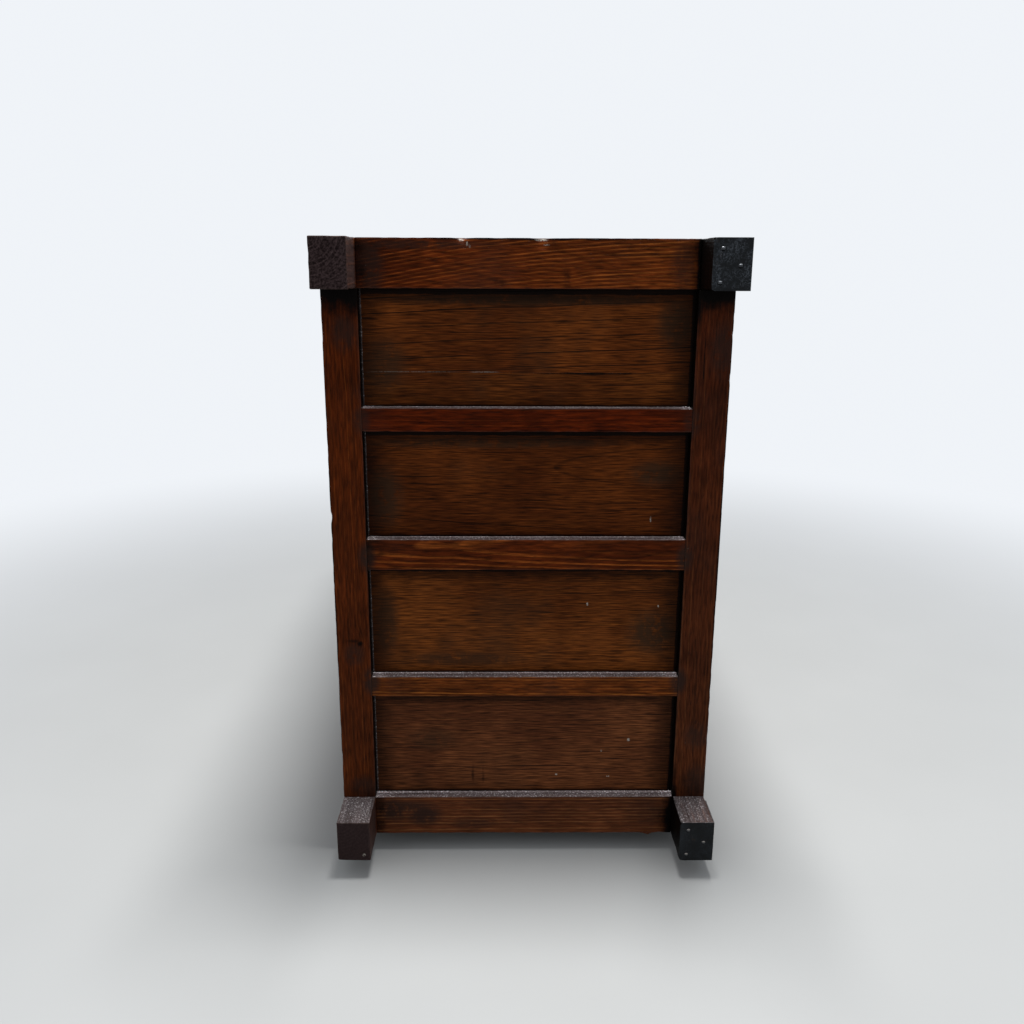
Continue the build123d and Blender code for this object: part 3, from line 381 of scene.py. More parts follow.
class Wood(Nodes):
    """Sawn wood, from its growth rings to the dust on it, each layer laid over the last."""

    def __init__(self, name, look):
        super().__init__(name, look["roughness"], look["specular"])
        self.look = look
        self.grain, self.figure, self.corner, self.half = (
            self.split(self.attribute(key, "Vector"))
            for key in ("grain", "figure", "corner", "half")
        )
        self.fibres = (self.grain[0], self.corner[1], self.corner[2])
        self.up = self.split(self.add("TexCoord").outputs["Normal"])[2]
        self.blotch = self.noise(*BLOTCH_NOISE)
        self.jitter = self.centred(self.blotch)
        self.lively = self.math("SUBTRACT", 1.0, self.attribute("calm"))
        self.line = self.growth_lines()
        self.fibre = self.stretched(look["fibre_along"], look["fibre_across"], 3.0)
        pore = (look["pore_along"], look["pore_across"], 1.0, *PORE_BAND)
        self.pore = self.stripes(*pore)

    def stretched(self, along, across, detail=2.0):
        """Noise drawn out along the grain, with its scale each way per metre."""
        scales = (along, across, across)
        place = (self.times(part, scale) for part, scale in zip(self.fibres, scales))
        return self.noise(1.0, detail, vector=self.vector(*place))

    def stripes(self, along, across, detail, low, high):
        """The same turned into stripes of 1 among 0, with a soft edge from low to high."""
        return self.step(self.stretched(along, across, detail), low, high)

    def growth_lines(self):
        """1 on the thin lines where a board cuts its growth rings, and 0 between them."""
        look, per_metre, boldness = self.look, self.figure[0], self.figure[1]
        radius = self.length(self.vector(0.0, self.grain[1], self.grain[2]))
        for shift, amount in (
            (self.stretched(WANDER_ALONG, look["wander_across"]), look["wander"]),
            (self.stretched(*RIPPLE_NOISE), look["ripple"]),
        ):
            radius = self.scaled(self.centred(shift), amount, radius)
        knots = self.spots(KNOTS, KNOT_CORE)
        radius = self.scaled(knots, look["knot_push"], radius)
        count = self.math("MULTIPLY", radius, per_metre)
        which = self.add("TexWhiteNoise", noise_dimensions="1D")
        self.set(which.inputs["W"], self.math("FLOOR", count))
        left = self.math("SUBTRACT", 1.0, self.math("FRACT", count))
        gap = self.math("DIVIDE", left, per_metre)
        width = self.step(gap, look["line_width"], look["line_core"])
        line = self.times(width, self.step(gap, *LINE_START_BAND))
        chance = which.outputs["Value"]
        strength = self.scaled(chance, look["line_spread"], look["line_least"])
        broken = self.at_least(self.stripes(*LINE_BREAKS), BROKEN_LEAST)
        return self.times(line, strength, broken, boldness)

    def edge_distance(self):
        """How far a point lies from the nearest long edge of its board."""
        gaps = [
            self.math("SUBTRACT", half, self.math("ABSOLUTE", corner))
            for corner, half in zip(self.corner, self.half)
        ]
        low = self.math("MINIMUM", gaps[0], gaps[1])
        high = self.math("MAXIMUM", gaps[0], gaps[1])
        return self.math("MAXIMUM", low, self.math("MINIMUM", high, gaps[2]))

    def bare_wood(self):
        """Stain, streaks, growth lines, fibres and pores, in the board's own tone."""
        look = self.look
        stain = self.noise(look["stain_scale"], 3.0, 0.6, vector=self.vector(*self.fibres))
        base = self.mix(self.step(stain, *STAIN_BAND), look["dark"], look["mid"])
        streak = (look["streak_along"], look["streak_across"], 3.0, *STREAK_BAND)
        streak = self.times(self.stripes(*streak), look["streak"], self.lively)
        base = self.mix(streak, base, look["streak_colour"])
        base = self.mix(self.line, base, look["line"])
        calm, more = look["fibre"] * CALM_FIBRE, look["fibre"] * (LIVELY_FIBRE - CALM_FIBRE)
        contrast = self.scaled(self.lively, more, calm)
        shade = self.scaled(self.centred(self.fibre), contrast, 1.0)
        base = self.mix(1.0, base, self.vector(shade, shade, shade), "MULTIPLY")
        base = self.mix(self.times(self.pore, look["pore"]), base, look["pore_colour"])
        return self.mix(1.0, base, self.attribute("tone", "Color"), "MULTIPLY")

    def end_grain(self, base):
        """Speckled rings on a board's ends, and bleached wood where it stood in the weather."""
        look, bare = self.look, self.figure[2]
        end = self.attribute("end")
        calm = self.attribute("calm")
        speckle = self.times(self.patches(*END_SPECKLE), RING_SHARE)
        rings = self.scaled(self.line, RING_SHARE, speckle)
        rings = self.scaled(calm, CALM_END, self.times(rings, self.lively))
        base = self.mix(end, base, self.mix(rings, look["end_dark"], look["end_line"]))
        bleached = self.mix(self.fibre, look["end_dark"], look["weathered"])
        return self.mix(self.times(bare, self.math("SUBTRACT", 1.0, end)), base, bleached)

    def smoke_and_shadow(self, base):
        """Purple-grey haze in the lacquer, chance patches and the photograph's own; two of the
        latter are painted shadow.
        """
        look = self.look
        spots = self.spots(SMOKE_AND_SHADOW, SMOKE_AND_SHADOW_CORE)
        smoke_and_shadow_spots = self.times(spots, self.patches(*SMOKE_AND_SHADOW_EDGE), look["smoke_and_shadow"])
        haze = self.times(self.patches(*HAZE), look["haze"])
        return self.mix(self.math("MAXIMUM", haze, smoke_and_shadow_spots), base, look["haze_colour"])

    def grime_and_shade(self, base, dirt_and_shade):
        """Dark dirt with a ragged edge, and painted shade on undersides."""
        ragged = self.scaled(self.jitter, GRIME_AND_SHADE_RAGGED, dirt_and_shade)
        shown = self.times(self.step(ragged, *GRIME_AND_SHADE_BAND), self.step(dirt_and_shade, *FAINT_GRIME_AND_SHADE_BAND))
        base = self.mix(shown, base, GRIME_AND_SHADE)
        # Faces that point down get painted shade
        underside_shade = self.times(self.step(self.up, *UNDERSIDE_SHADE_BAND), self.look["under"])
        return self.mix(underside_shade, base, GRIME_AND_SHADE)

    def recess(self, base):
        """The painted shade beside a panel's frame, and the dust in its back corner."""
        gaps = {
            "over": self.math("SUBTRACT", self.half[1], self.corner[1]),
            "under": self.math("ADD", self.half[1], self.corner[1]),
            "front": self.math("ADD", self.half[0], self.corner[0]),
            "back": self.math("SUBTRACT", self.half[0], self.corner[0]),
        }
        shade = 0.0
        for side, dark_at, clear_at, strength in RECESS_SHADE:
            ragged = self.scaled(self.jitter, clear_at * 0.5, gaps[side])
            dark = self.times(self.step(ragged, clear_at, dark_at), strength)
            shade = self.math("MAXIMUM", shade, dark)
        recess = self.attribute("recess")
        base = self.mix(self.times(shade, recess), base, GRIME_AND_SHADE)
        ragged = self.scaled(self.jitter, CORNER_DUST_RAGGED, gaps["back"])
        corner_dust = self.times(self.step(ragged, *CORNER_DUST_BAND), recess, CORNER_DUST)
        return self.mix(corner_dust, base, self.powder(CORNER_DUST_DEPTH))

    def worn_edges(self, base, dirt_and_shade):
        """Bare wood on rubbed edges, mostly on those that face up."""
        edge = self.scaled(self.blotch, -WORN_RAGGED, self.edge_distance())
        rubbed = self.step(edge, 0.0, -WORN_REACH)
        raised = self.at_least(self.step(self.up, *RUBBED_BAND), RUBBED_LEAST)
        clean = self.step(dirt_and_shade, *CLEAN_BAND)
        worn = self.times(rubbed, self.look["worn"], raised, clean)
        return self.mix(worn, base, self.look["worn_colour"])

    def dust_depth(self):
        """How deep dust lies: swept along the grain, and drifted against the panels. On the
        ledges it lies deeper and paler, partly as painted light.
        """
        swept = self.stretched(*SWEPT_NOISE)
        swept = self.scaled(swept, *SWEPT_DUST)
        deep = self.attribute("dust")
        outward = self.math("ABSOLUTE", self.split(self.place)[0])
        inward = self.math("SUBTRACT", outward, abs(PANEL_FACE))
        drift = self.step(inward, *BESIDE_PANEL_BAND)
        drift = self.scaled(drift, *DRIFTED_DUST)
        drift = self.scaled(self.step(deep, *DEEP_DUST_BAND), drift, 1.0)
        return self.times(deep, swept, drift)

    def marks(self, base):
        """Pale specks anywhere, and the photograph's own chips and specks."""
        speck = self.add("TexVoronoi", feature="F1")
        self.set(speck.inputs["Vector"], self.place)
        speck.inputs["Scale"].default_value = SPECKS_PER_METRE
        spot = self.step(speck.outputs["Distance"], *SPECK_BAND)
        chosen = self.step(self.split(speck.outputs["Color"])[0], *CHOSEN_BAND)
        specks = self.times(spot, chosen, self.look["specks"])
        chips = self.spots(MARKS, MARK_CORE)
        chips = self.times(chips, self.patches(*CHIP_GRAINS))
        return self.mix(self.math("MAXIMUM", specks, chips), base, PALE_MARK)

    def layers(self):
        """The finished material."""
        look = self.look
        stains_and_shadows = self.spots(STAINS_AND_SHADOWS, STAIN_AND_SHADOW_CORE)
        dirt_and_shade = self.math("MAXIMUM", self.attribute("grime_and_shade"), stains_and_shadows)
        base = self.smoke_and_shadow(self.end_grain(self.bare_wood()))
        base = self.recess(self.grime_and_shade(base, dirt_and_shade))
        seam = self.times(self.step(self.edge_distance(), *SEAM_BAND), look["seam"])
        base = self.worn_edges(self.mix(seam, base, GRIME_AND_SHADE), dirt_and_shade)
        film = self.at_least(self.patches(*FILM_PATCHES), FILM_LEAST)
        level = self.step(self.up, *FACING_UP_BAND)
        dusty = self.times(level, film, look["dust"], self.math("SUBTRACT", 1.0, seam))
        base = self.mix(dusty, base, self.powder(self.dust_depth()))
        base = self.marks(base)

        height = self.times(self.fibre, FIBRE_RELIEF)
        height = self.scaled(self.line, LINE_RELIEF, height)
        height = self.math("SUBTRACT", height, self.times(self.pore, PORE_RELIEF))
        self.bump(height, look["relief"])
        rough = self.scaled(dusty, DUST_ROUGHNESS, look["roughness"])
        rough = self.scaled(self.jitter, UNEVEN_ROUGHNESS, rough)
        return self.finish(base, rough)


FRAME_LOOK = {
    "dark": (0.045, 0.0075, 0.0012),
    "mid": (0.084, 0.0140, 0.0020),
    "line": (0.230, 0.056, 0.0080),
    "line_width": 0.0030,
    "line_core": 0.0010,
    "streak": 0.55,
    "streak_along": 3.0,
    "streak_across": 110.0,
    "streak_colour": (0.020, 0.0050, 0.0012),
    "end_dark": (0.0110, 0.0060, 0.0058),
    "end_line": (0.085, 0.055, 0.055),
    "weathered": (0.075, 0.060, 0.058),
    "haze_colour": (0.024, 0.0125, 0.0095),
    "pore_colour": (0.010, 0.003, 0.0012),
    "worn_colour": (0.15, 0.105, 0.085),
    "wander": 0.016,
    "wander_across": 4.0,
    "ripple": 0.0030,
    "knot_push": 0.012,
    "line_least": 0.12,
    "line_spread": 0.75,
    "fibre": 1.5,
    "fibre_along": 36.0,
    "fibre_across": 340.0,
    "pore": 0.45,
    "pore_along": 55.0,
    "pore_across": 620.0,
    "stain_scale": 5.0,
    "haze": 0.4,
    "smoke_and_shadow": 0.9,
    "worn": 0.5,
    # How much painted shade faces that point down get
    "under": 0.85,
    "seam": 0.0,
    "dust": 0.85,
    "specks": 0.4,
    "relief": 0.0004,
    "roughness": 0.42,
    "specular": 0.03,
}

PANEL_LOOK = {
    **FRAME_LOOK,
    "dark": (0.070, 0.0145, 0.0028),
    "mid": (0.132, 0.0300, 0.0054),
    "line": (0.014, 0.0044, 0.0016),
    "line_width": 0.0024,
    "line_core": 0.0009,
    "streak": 0.28,
    "streak_along": 8.0,
    "streak_across": 430.0,
    "streak_colour": (0.200, 0.052, 0.0085),
    "haze_colour": (0.034, 0.0170, 0.0085),
    "wander": 0.014,
    "wander_across": 3.0,
    "line_least": 0.5,
    "line_spread": 0.5,
    "fibre": 1.8,
    "fibre_along": 34.0,
    "fibre_across": 600.0,
    "pore": 0.75,
    "pore_along": 12.0,
    "pore_across": 480.0,
    "worn": 0.0,
    "under": 0.0,
    "seam": 0.75,
    "specks": 0.8,
}

FRONT_LOOK = {**FRAME_LOOK, "specks": 0.2, "dust": 0.5}

INNER_LOOK = {
    **FRAME_LOOK,
    "dark": (0.20, 0.115, 0.058),
    "mid": (0.33, 0.21, 0.115),
    "line": (0.17, 0.085, 0.036),
    "streak_colour": (0.18, 0.10, 0.05),
    "end_dark": (0.17, 0.11, 0.065),
    "end_line": (0.28, 0.2, 0.13),
    "weathered": (0.24, 0.19, 0.14),
    "haze_colour": (0.19, 0.15, 0.115),
    "pore_colour": (0.12, 0.07, 0.035),
    "worn_colour": (0.4, 0.29, 0.19),
    "smoke_and_shadow": 0.0,
    "worn": 0.2,
    "under": 0.0,
    "fibre": 0.35,
    "dust": 0.15,
    "specks": 0.0,
    "roughness": 0.7,
}

BACK_LOOK = {
    **INNER_LOOK,
    "dark": (0.06, 0.028, 0.014),
    "mid": (0.12, 0.058, 0.028),
    "line": (0.19, 0.1, 0.048),
    "streak_colour": (0.05, 0.024, 0.012),
    "end_dark": (0.05, 0.028, 0.017),
    "end_line": (0.09, 0.055, 0.035),
    "haze_colour": (0.09, 0.065, 0.05),
    "pore_colour": (0.04, 0.02, 0.01),
    "worn_colour": (0.2, 0.12, 0.07),
    "haze": 0.2,
    "seam": 0.8,
}

LOOKS = {
    "frame_wood": FRAME_LOOK,
    "panel_wood": PANEL_LOOK,
    "front_wood": FRONT_LOOK,
    "inner_wood": INNER_LOOK,
    "back_wood": BACK_LOOK,
}
WOODS = {name: Wood(name, look).layers() for name, look in LOOKS.items()}


IRON_BLOOM = (0.105, 0.118, 0.138)
RUST = (0.045, 0.024, 0.014)
LOW_NAIL_HIGHLIGHT, HIGH_NAIL_HIGHLIGHT = (0.12, 0.10, 0.08), (0.42, 0.43, 0.45)
NAIL_SHADE = (0.006, 0.006, 0.007)
IRON_BROAD, IRON_FINE = (26.0, 4.0, 0.65), (300.0, 3.0, 0.6)
WISP_NOISE, WISP_BAND = (200.0, 4.0, 0.6), (0.017, 0.003)
RUST_PATCHES = (60.0, 4.0, 0.7, 0.62, 0.75)
# Iron gets more bloom between these heights, and nail heads a brighter painted highlight
BLOOM_AND_HIGHLIGHT_BAND = (0.2, 0.8)
IRON_SPECULAR, IRON_RELIEF, IRON_DUST_DEPTH = 0.13, 0.0006, 1.3


def iron(name, dark, light, roughness, metallic, patina):
    """Black lacquered iron with a mottled bloom and dust, or nail heads with a painted
    highlight above and painted shade below.
    """
    m = Nodes(name, roughness, IRON_SPECULAR, metallic)
    broad = m.noise(*IRON_BROAD)
    fine = m.noise(*IRON_FINE)
    bloom = m.times(m.step(fine, 0.55, 0.70), m.step(broad, 0.4, 0.62), 0.6)
    contour = m.math("ABSOLUTE", m.centred(m.noise(*WISP_NOISE)))
    wisps = m.times(m.step(contour, *WISP_BAND), m.step(broad, 0.42, 0.56))
    bloom = m.math("MAXIMUM", bloom, wisps)
    raised = m.at_least(m.step(m.split(m.place)[2], *BLOOM_AND_HIGHLIGHT_BAND), RUBBED_LEAST)
    base = m.mix(m.step(broad, 0.35, 0.7), dark, light)
    base = m.mix(m.times(bloom, raised, patina), base, IRON_BLOOM)
    rust = m.patches(*RUST_PATCHES)
    base = m.mix(m.times(rust, 0.25), base, RUST)
    up = m.split(m.add("TexCoord").outputs["Normal"])[2]
    if metallic:
        # A painted highlight on each nail head's upper part, brighter higher up, and painted
        # shade on its lower part
        rubbed = m.mix(raised, LOW_NAIL_HIGHLIGHT, HIGH_NAIL_HIGHLIGHT)
        base = m.mix(m.step(up, 0.30, 0.60), base, rubbed)
        base = m.mix(m.step(up, -0.15, -0.45), base, NAIL_SHADE)
    else:
        level = m.times(m.step(up, 0.80, 0.96), 0.85)
        base = m.mix(level, base, m.powder(IRON_DUST_DEPTH))
    m.bump(m.math("ADD", fine, m.times(broad, 2.0)), IRON_RELIEF)
    rough = m.scaled(bloom, 0.2, roughness - 0.05)
    return m.finish(base, rough)


IRON = iron("iron", (0.0028, 0.0036, 0.0044), (0.0080, 0.0098, 0.0122), 0.45, 0.0, 0.95)
NAIL_IRON = iron("nail_iron", (0.030, 0.032, 0.035), (0.060, 0.062, 0.066), 0.30, 1.0, 0.1)


WHEEL_DARK, WHEEL_MID = (0.035, 0.018, 0.010), (0.085, 0.047, 0.026)
WHEEL_DUST = (0.14, 0.1, 0.07)
WHEEL_BROAD, WHEEL_FINE = (18.0, 4.0, 0.65), (260.0, 3.0, 0.6)


def wheel_wood():
    """The wheels' dark wood, with fine dust on it."""
    m = Nodes("wheel_wood", 0.75, 0.3)
    broad = m.noise(*WHEEL_BROAD)
    fine = m.noise(*WHEEL_FINE)
    base = m.mix(m.step(broad, 0.35, 0.65), WHEEL_DARK, WHEEL_MID)
    base = m.mix(m.times(m.step(fine, 0.5, 0.7), 0.6), base, WHEEL_DUST)
    m.bump(fine, 0.0008)
    return m.finish(base)


WHEEL_WOOD = wheel_wood()


# Boards, made anew from each wooden CAD node

SHARP_ANGLE = 0.5
ROUND_SEGMENTS, ROUND_PROFILE = 2, 0.6
# Worn edges: a noise's scale per metre, then a finer one's scale and share of it
WEAR_SCALE, FINE_WEAR_SCALE, FINE_WEAR = 55.0, 3.1, 0.5
# How much of an edge's wear pushes in from each of its sides
WEAR_SHARE = 0.7
# How far wear reaches from an edge, in widths of its rounding
WEAR_REACH = 2.2
# Boards narrower than this show weaker growth lines
PLAIN_WIDTH = 0.045
# The weather's bleach starts at the end frame and is full this far out
WEATHER_REACH = 0.012
# Dust lies deeper near the ends of a ledge: by how much, and how near
END_DUST, END_DUST_REACH = 1.5, 0.018
END_GRIME_REACH = 0.03
# A face is a board's end when it faces along the grain by more than this
END_FACING = 0.7
# What chance gives a board whose look says nothing of it
CHANCE_SPACING, CHANCE_TONE = (0.0045, 0.0065), (0.88, 1.08)
# Painted shade on a post's inner face, past its rounded corner
DARK_SIDE_SHADE, DARK_SIDE_GAP, DARK_SIDE_START = 1.6, 0.0012, 0.001


def solids_of(node):
    """The separate solids of a CAD node: its faces come in order, and each solid closes."""
    mesh = frame["nodes"][node].data
    solids, faces, open_edges = [], [], set()
    for polygon in mesh.polygons:
        corners = [tuple(round(c, 6) for c in mesh.vertices[i].co) for i in polygon.vertices]
        faces.append(corners)
        for first, second in zip(corners, corners[1:] + corners[:1]):
            if (second, first) in open_edges:
                open_edges.remove((second, first))
            else:
                open_edges.add((first, second))
        if not open_edges:
            solids.append(closed_mesh(faces))
            faces = []
    return sorted(solids, key=lambda s: tuple(round(c, 4) for c in low_corner(s)))


def closed_mesh(faces):
    """A bmesh of faces given by their corners, with shared vertices."""
    bm = bmesh.new()
    made = {}
    for corners in faces:
        for corner in corners:
            if corner not in made:
                made[corner] = bm.verts.new(corner)
        if len(set(corners)) == len(corners):
            bm.faces.new([made[corner] for corner in corners])
    return bm


def placed(name, data):
    """A new object, put into the scene."""
    piece = bpy.data.objects.new(name, data)
    bpy.context.scene.collection.objects.link(piece)
    return piece


def low_corner(bm):
    return Vector([min(v.co[i] for v in bm.verts) for i in range(3)])


def high_corner(bm):
    return Vector([max(v.co[i] for v in bm.verts) for i in range(3)])


def break_edges(bm, width):
    """Rounds every sharp outer edge a little."""
    bm.normal_update()
    closed = [edge for edge in bm.edges if len(edge.link_faces) == 2]
    sharp = [edge for edge in closed if edge.calc_face_angle_signed() > SHARP_ANGLE]
    bmesh.ops.bevel(
        bm,
        geom=sharp,
        offset=width,
        segments=ROUND_SEGMENTS,
        profile=ROUND_PROFILE,
        affect="EDGES",
        clamp_overlap=True,
    )


def cut_across(bm, axis, step):
    """Cuts a mesh into slices across one axis, so that its edges can be worn unevenly."""
    low, high = low_corner(bm)[axis], high_corner(bm)[axis]
    normal = Vector([float(i == axis) for i in range(3)])
    count = int((high - low) / step)
    for place in range(1, count):
        point = normal * (low + (high - low) * place / count)
        bmesh.ops.bisect_plane(
            bm,
            geom=bm.verts[:] + bm.edges[:] + bm.faces[:],
            dist=1e-7,
            plane_co=point,
            plane_no=normal,
        )


def wear_edges(bm, amount, reach, seed):
    """Pushes the edges of a board in by an uneven amount, as handling wears them."""
    low, high = low_corner(bm), high_corner(bm)
    for vertex in bm.verts:
        gaps = [(vertex.co[i] - low[i], i, 1.0) for i in range(3)]
        gaps += [(high[i] - vertex.co[i], i, -1.0) for i in range(3)]
        near = [(i, sign) for gap, i, sign in gaps if gap < reach]
        if len(near) < 2:
            continue
        here = vertex.co * WEAR_SCALE + seed
        depth = noise.noise(here) + FINE_WEAR * noise.noise(here * FINE_WEAR_SCALE)
        push = amount * max(0.0, depth)
        for i, sign in near:
            vertex.co[i] += sign * push * WEAR_SHARE


def dent(bm, dents):
    """Pushes the vertices near each given point, most at the point itself."""
    for centre, reach, push in dents:
        for vertex in bm.verts:
            away = (vertex.co - Vector(centre)).length / reach
            vertex.co += Vector(push) * math.exp(-away * away)


def grain_axes(size, look):
    """The axes along the grain, across it on the face, and through the board's thickness."""
    along, depth = look.get("axis"), look.get("depth_axis")
    if along is None:
        along = max(range(3), key=lambda i: size[i])
    if depth is None:
        depth = min((i for i in range(3) if i != along), key=lambda i: size[i])
    return along, 3 - along - depth, depth


def chance_heart(rnd, low, high, axes):
    """A heart line for a board sawn anywhere in its log, mostly well outside the board."""
    width = high[axes[1]] - low[axes[1]]
    aside = rnd.choice((-1.0, 1.0)) * rnd.uniform(0.2, 1.6) * width
    return {
        "across": (low[axes[1]] + high[axes[1]]) / 2 + aside,
        "behind": rnd.uniform(0.02, 0.08),
        "slope": rnd.uniform(-0.02, 0.02),
        "tilt": rnd.uniform(-0.04, 0.04),
    }


def board(bm, name, node, slot, rnd, look):
    """A finished board: its wood's own grain, its edges and its place for wear, grime and
    painted shade.
    """
    low, high = low_corner(bm), high_corner(bm)
    centre = (low + high) / 2
    axes = grain_axes(high - low, look)
    heart = {**chance_heart(rnd, low, high, axes), **look.get("heart", {})}
    spacing = look.get("spacing", rnd.uniform(*CHANCE_SPACING))
    narrow = min(1.0, (high[axes[1]] - low[axes[1]]) / PLAIN_WIDTH)
    lines = look.get("lines", 1.0) * narrow
    chance = [rnd.uniform(*CHANCE_TONE) for _ in range(3)]
    tones = [Vector(look.get("tone", (1.0, 1.0, 1.0)))]
    tones.insert(0, Vector(look.get("low_tone", tones[0])))
    shift = rnd.uniform(0.0, 30.0)
    seed = Vector([rnd.uniform(0.0, 50.0) for _ in range(3)])
    opening = recess_round(centre, look["recess"]) if look.get("recess") else (low, high)
    middle, half = (opening[0] + opening[1]) / 2, (opening[1] - opening[0]) / 2

    edge = look.get("round", 0.0008)
    break_edges(bm, edge)
    for axis, step in zip(axes, look.get("cells", ())):
        cut_across(bm, axis, step)
    if look.get("wear"):
        wear_edges(bm, look["wear"], edge * WEAR_REACH, seed)
    dent(bm, look.get("dents", ()))
    bm.normal_update()
    mesh = bpy.data.meshes.new(name)
    bm.to_mesh(mesh)
    bm.free()

    grain, corner, figure, grime_and_shade, tone, dust = [], [], [], [], [], []
    for vertex in mesh.vertices:
        local = vertex.co - middle
        along = vertex.co[axes[0]] - centre[axes[0]]
        rise = heart["slope"] * along + heart.get("bow", 0.0) * along * along
        across = vertex.co[axes[1]] - heart["across"] + rise
        depth = heart["behind"] + low[axes[2]] - vertex.co[axes[2]] + heart["tilt"] * along
        grain.extend((along + shift, across, depth))
        corner.extend(local[axis] for axis in axes)
        out = max(0.0, min(1.0, (END_FACE - vertex.co.x) / WEATHER_REACH))
        figure.extend((1.0 / spacing, lines, look.get("weather", 0.0) * out))
        grime_and_shade.append(grime_and_shade_at(vertex.co, axes, low, high, look))
        share = (vertex.co[axes[0]] - low[axes[0]]) / (high[axes[0]] - low[axes[0]])
        tone.extend(c * t for c, t in zip(chance, tones[0].lerp(tones[1], share)))
        gap = min(abs(vertex.co.y - end) for end in look.get("dust_ends", (math.inf,)))
        heap = 1.0 + END_DUST * math.exp(-((gap / END_DUST_REACH) ** 2))
        dust.append(look.get("dust_depth", 1.0) * heap)
    count = len(mesh.vertices)
    halves = [half[axis] for axis in axes] * count
    vectors = {"grain": grain, "corner": corner, "half": halves, "figure": figure, "tone": tone}
    for key, values in vectors.items():
        mesh.attributes.new(key, "FLOAT_VECTOR", "POINT").data.foreach_set("vector", values)
    calm, recess = [look.get("calm", 0.0)] * count, [float("recess" in look)] * count
    numbers = {"calm": calm, "grime_and_shade": grime_and_shade, "dust": dust, "recess": recess}
    for key, values in numbers.items():
        mesh.attributes.new(key, "FLOAT", "POINT").data.foreach_set("value", values)
    ends = [float(abs(face.normal[axes[0]]) > END_FACING) for face in mesh.polygons]
    mesh.attributes.new("end", "FLOAT", "FACE").data.foreach_set("value", ends)
    mesh.materials.append(WOODS[slot])
    piece = placed(name, mesh)
    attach(piece, frame["nodes"][node]["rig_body"])
    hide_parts(node)


def recess_round(centre, side):
    """The opening between rails and posts in which an end panel lies."""
    rails = [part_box(f"end_rail_{level}_{side}") for level in RAIL_LEVELS]
    low_z = max(rail[1].z for rail in rails if rail[1].z < centre.z)
    high_z = min(rail[0].z for rail in rails if rail[0].z > centre.z)
    front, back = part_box(f"post_front_{side}")[1].y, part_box(f"post_back_{side}")[0].y
    return Vector((centre.x, front, low_z)), Vector((centre.x, back, high_z))


def grime_and_shade_at(point, axes, low, high, look):
    """How dark a point is: grime at its board's ends, painted shade under floor boards and on
    posts' inner faces, and the dark places given for the board.
    """
    end_gap = min(point[axes[0]] - low[axes[0]], high[axes[0]] - point[axes[0]])
    total = look.get("end_grime", 0.0) * max(0.0, 1.0 - end_gap / END_GRIME_REACH)
    # Painted shade on the lower half of a board that asks for it
    if point.z < (low.z + high.z) / 2:
        total += look.get("under_grime", 0.0)
    # Painted shade on a post's inner face
    beside = abs(point.y - look.get("dark_side", low.y - 1.0)) < DARK_SIDE_GAP
    if beside and point.x > low.x + DARK_SIDE_START:
        total += DARK_SIDE_SHADE
    for y, z, reach_y, reach_z, amount in look.get("smudges", ()):
        away = ((point.y - y) / reach_y) ** 2 + ((point.z - z) / reach_z) ** 2
        total += amount * math.exp(-away)
    return total


def boards(node, slot, seed, **look):
    """Replaces every solid of a wooden node by a finished board."""
    rnd = random.Random(seed)
    for place, solid in enumerate(solids_of(node)):
        own = {**look, **look.get("each", {}).get(place, {})}
        board(solid, f"{node}_wood_{place + 1}", node, own.get("slot", slot), rnd, own)


def heart_at(across, slope=0.0, tilt=0.0, **rest):
    """A chosen heart line. How far behind the face it lies may still be left to chance."""
    return {"across": across, "slope": slope, "tilt": tilt, **rest}


# The near end's own figure: where each board's heart lies, its tone and its dark places
NEAR_RAILS = {
    "top": {
        "heart": heart_at(0.84, slope=0.11, behind=0.03, bow=0.16),
        "spacing": 0.0056,
        "lines": 0.80,
        "tone": (1.35, 1.30, 1.5),
        "low_tone": (2.10, 2.80, 3.4),
        "cells": (0.005, 0.009, 0.012),
        "smudges": ((-0.265, 1.0, 0.028, 0.09, 1.1), (0.268, 1.0, 0.022, 0.09, 0.35)),
        "dents": (
            ((END_FACE, 0.109, RAIL_TOP), 0.008, (0.003, 0.0, -0.0035)),
            ((END_FACE, -0.010, RAIL_TOP), 0.011, (0.004, 0.0, -0.0020)),
        ),
    },
    "upper": {
        "heart": heart_at(0.95, slope=0.01, behind=0.05),
        "spacing": 0.0075,
        "lines": 0.45,
        "tone": (0.95, 0.8, 0.7),
    },
    "middle": {
        "heart": heart_at(0.563, tilt=0.021, behind=0.031),
        "spacing": 0.0058,
        "tone": (1.1, 1.35, 1.4),
        "smudges": ((0.265, 0.56, 0.03, 0.06, 0.6), (-0.262, 0.56, 0.02, 0.06, 0.4)),
    },
    "lower": {
        "heart": heart_at(0.12, slope=-0.01, behind=0.05),
        "spacing": 0.0050,
        "lines": 0.85,
        "tone": (1.6, 2.1, 2.6),
    },
    "base": {
        "heart": heart_at(0.16, slope=0.02, tilt=0.02, behind=0.03),
        "spacing": 0.0062,
        "lines": 0.55,
        "tone": (1.45, 2.4, 6.5),
        "calm": 0.5,
        "smudges": ((0.262, 0.07, 0.014, 0.09, 0.5), (-0.260, 0.07, 0.026, 0.09, 1.2)),
        "dents": (((END_FACE, -0.208, BASE_RAIL_FOOT), 0.006, (0.0, 0.0, -0.004)),),
    },
}
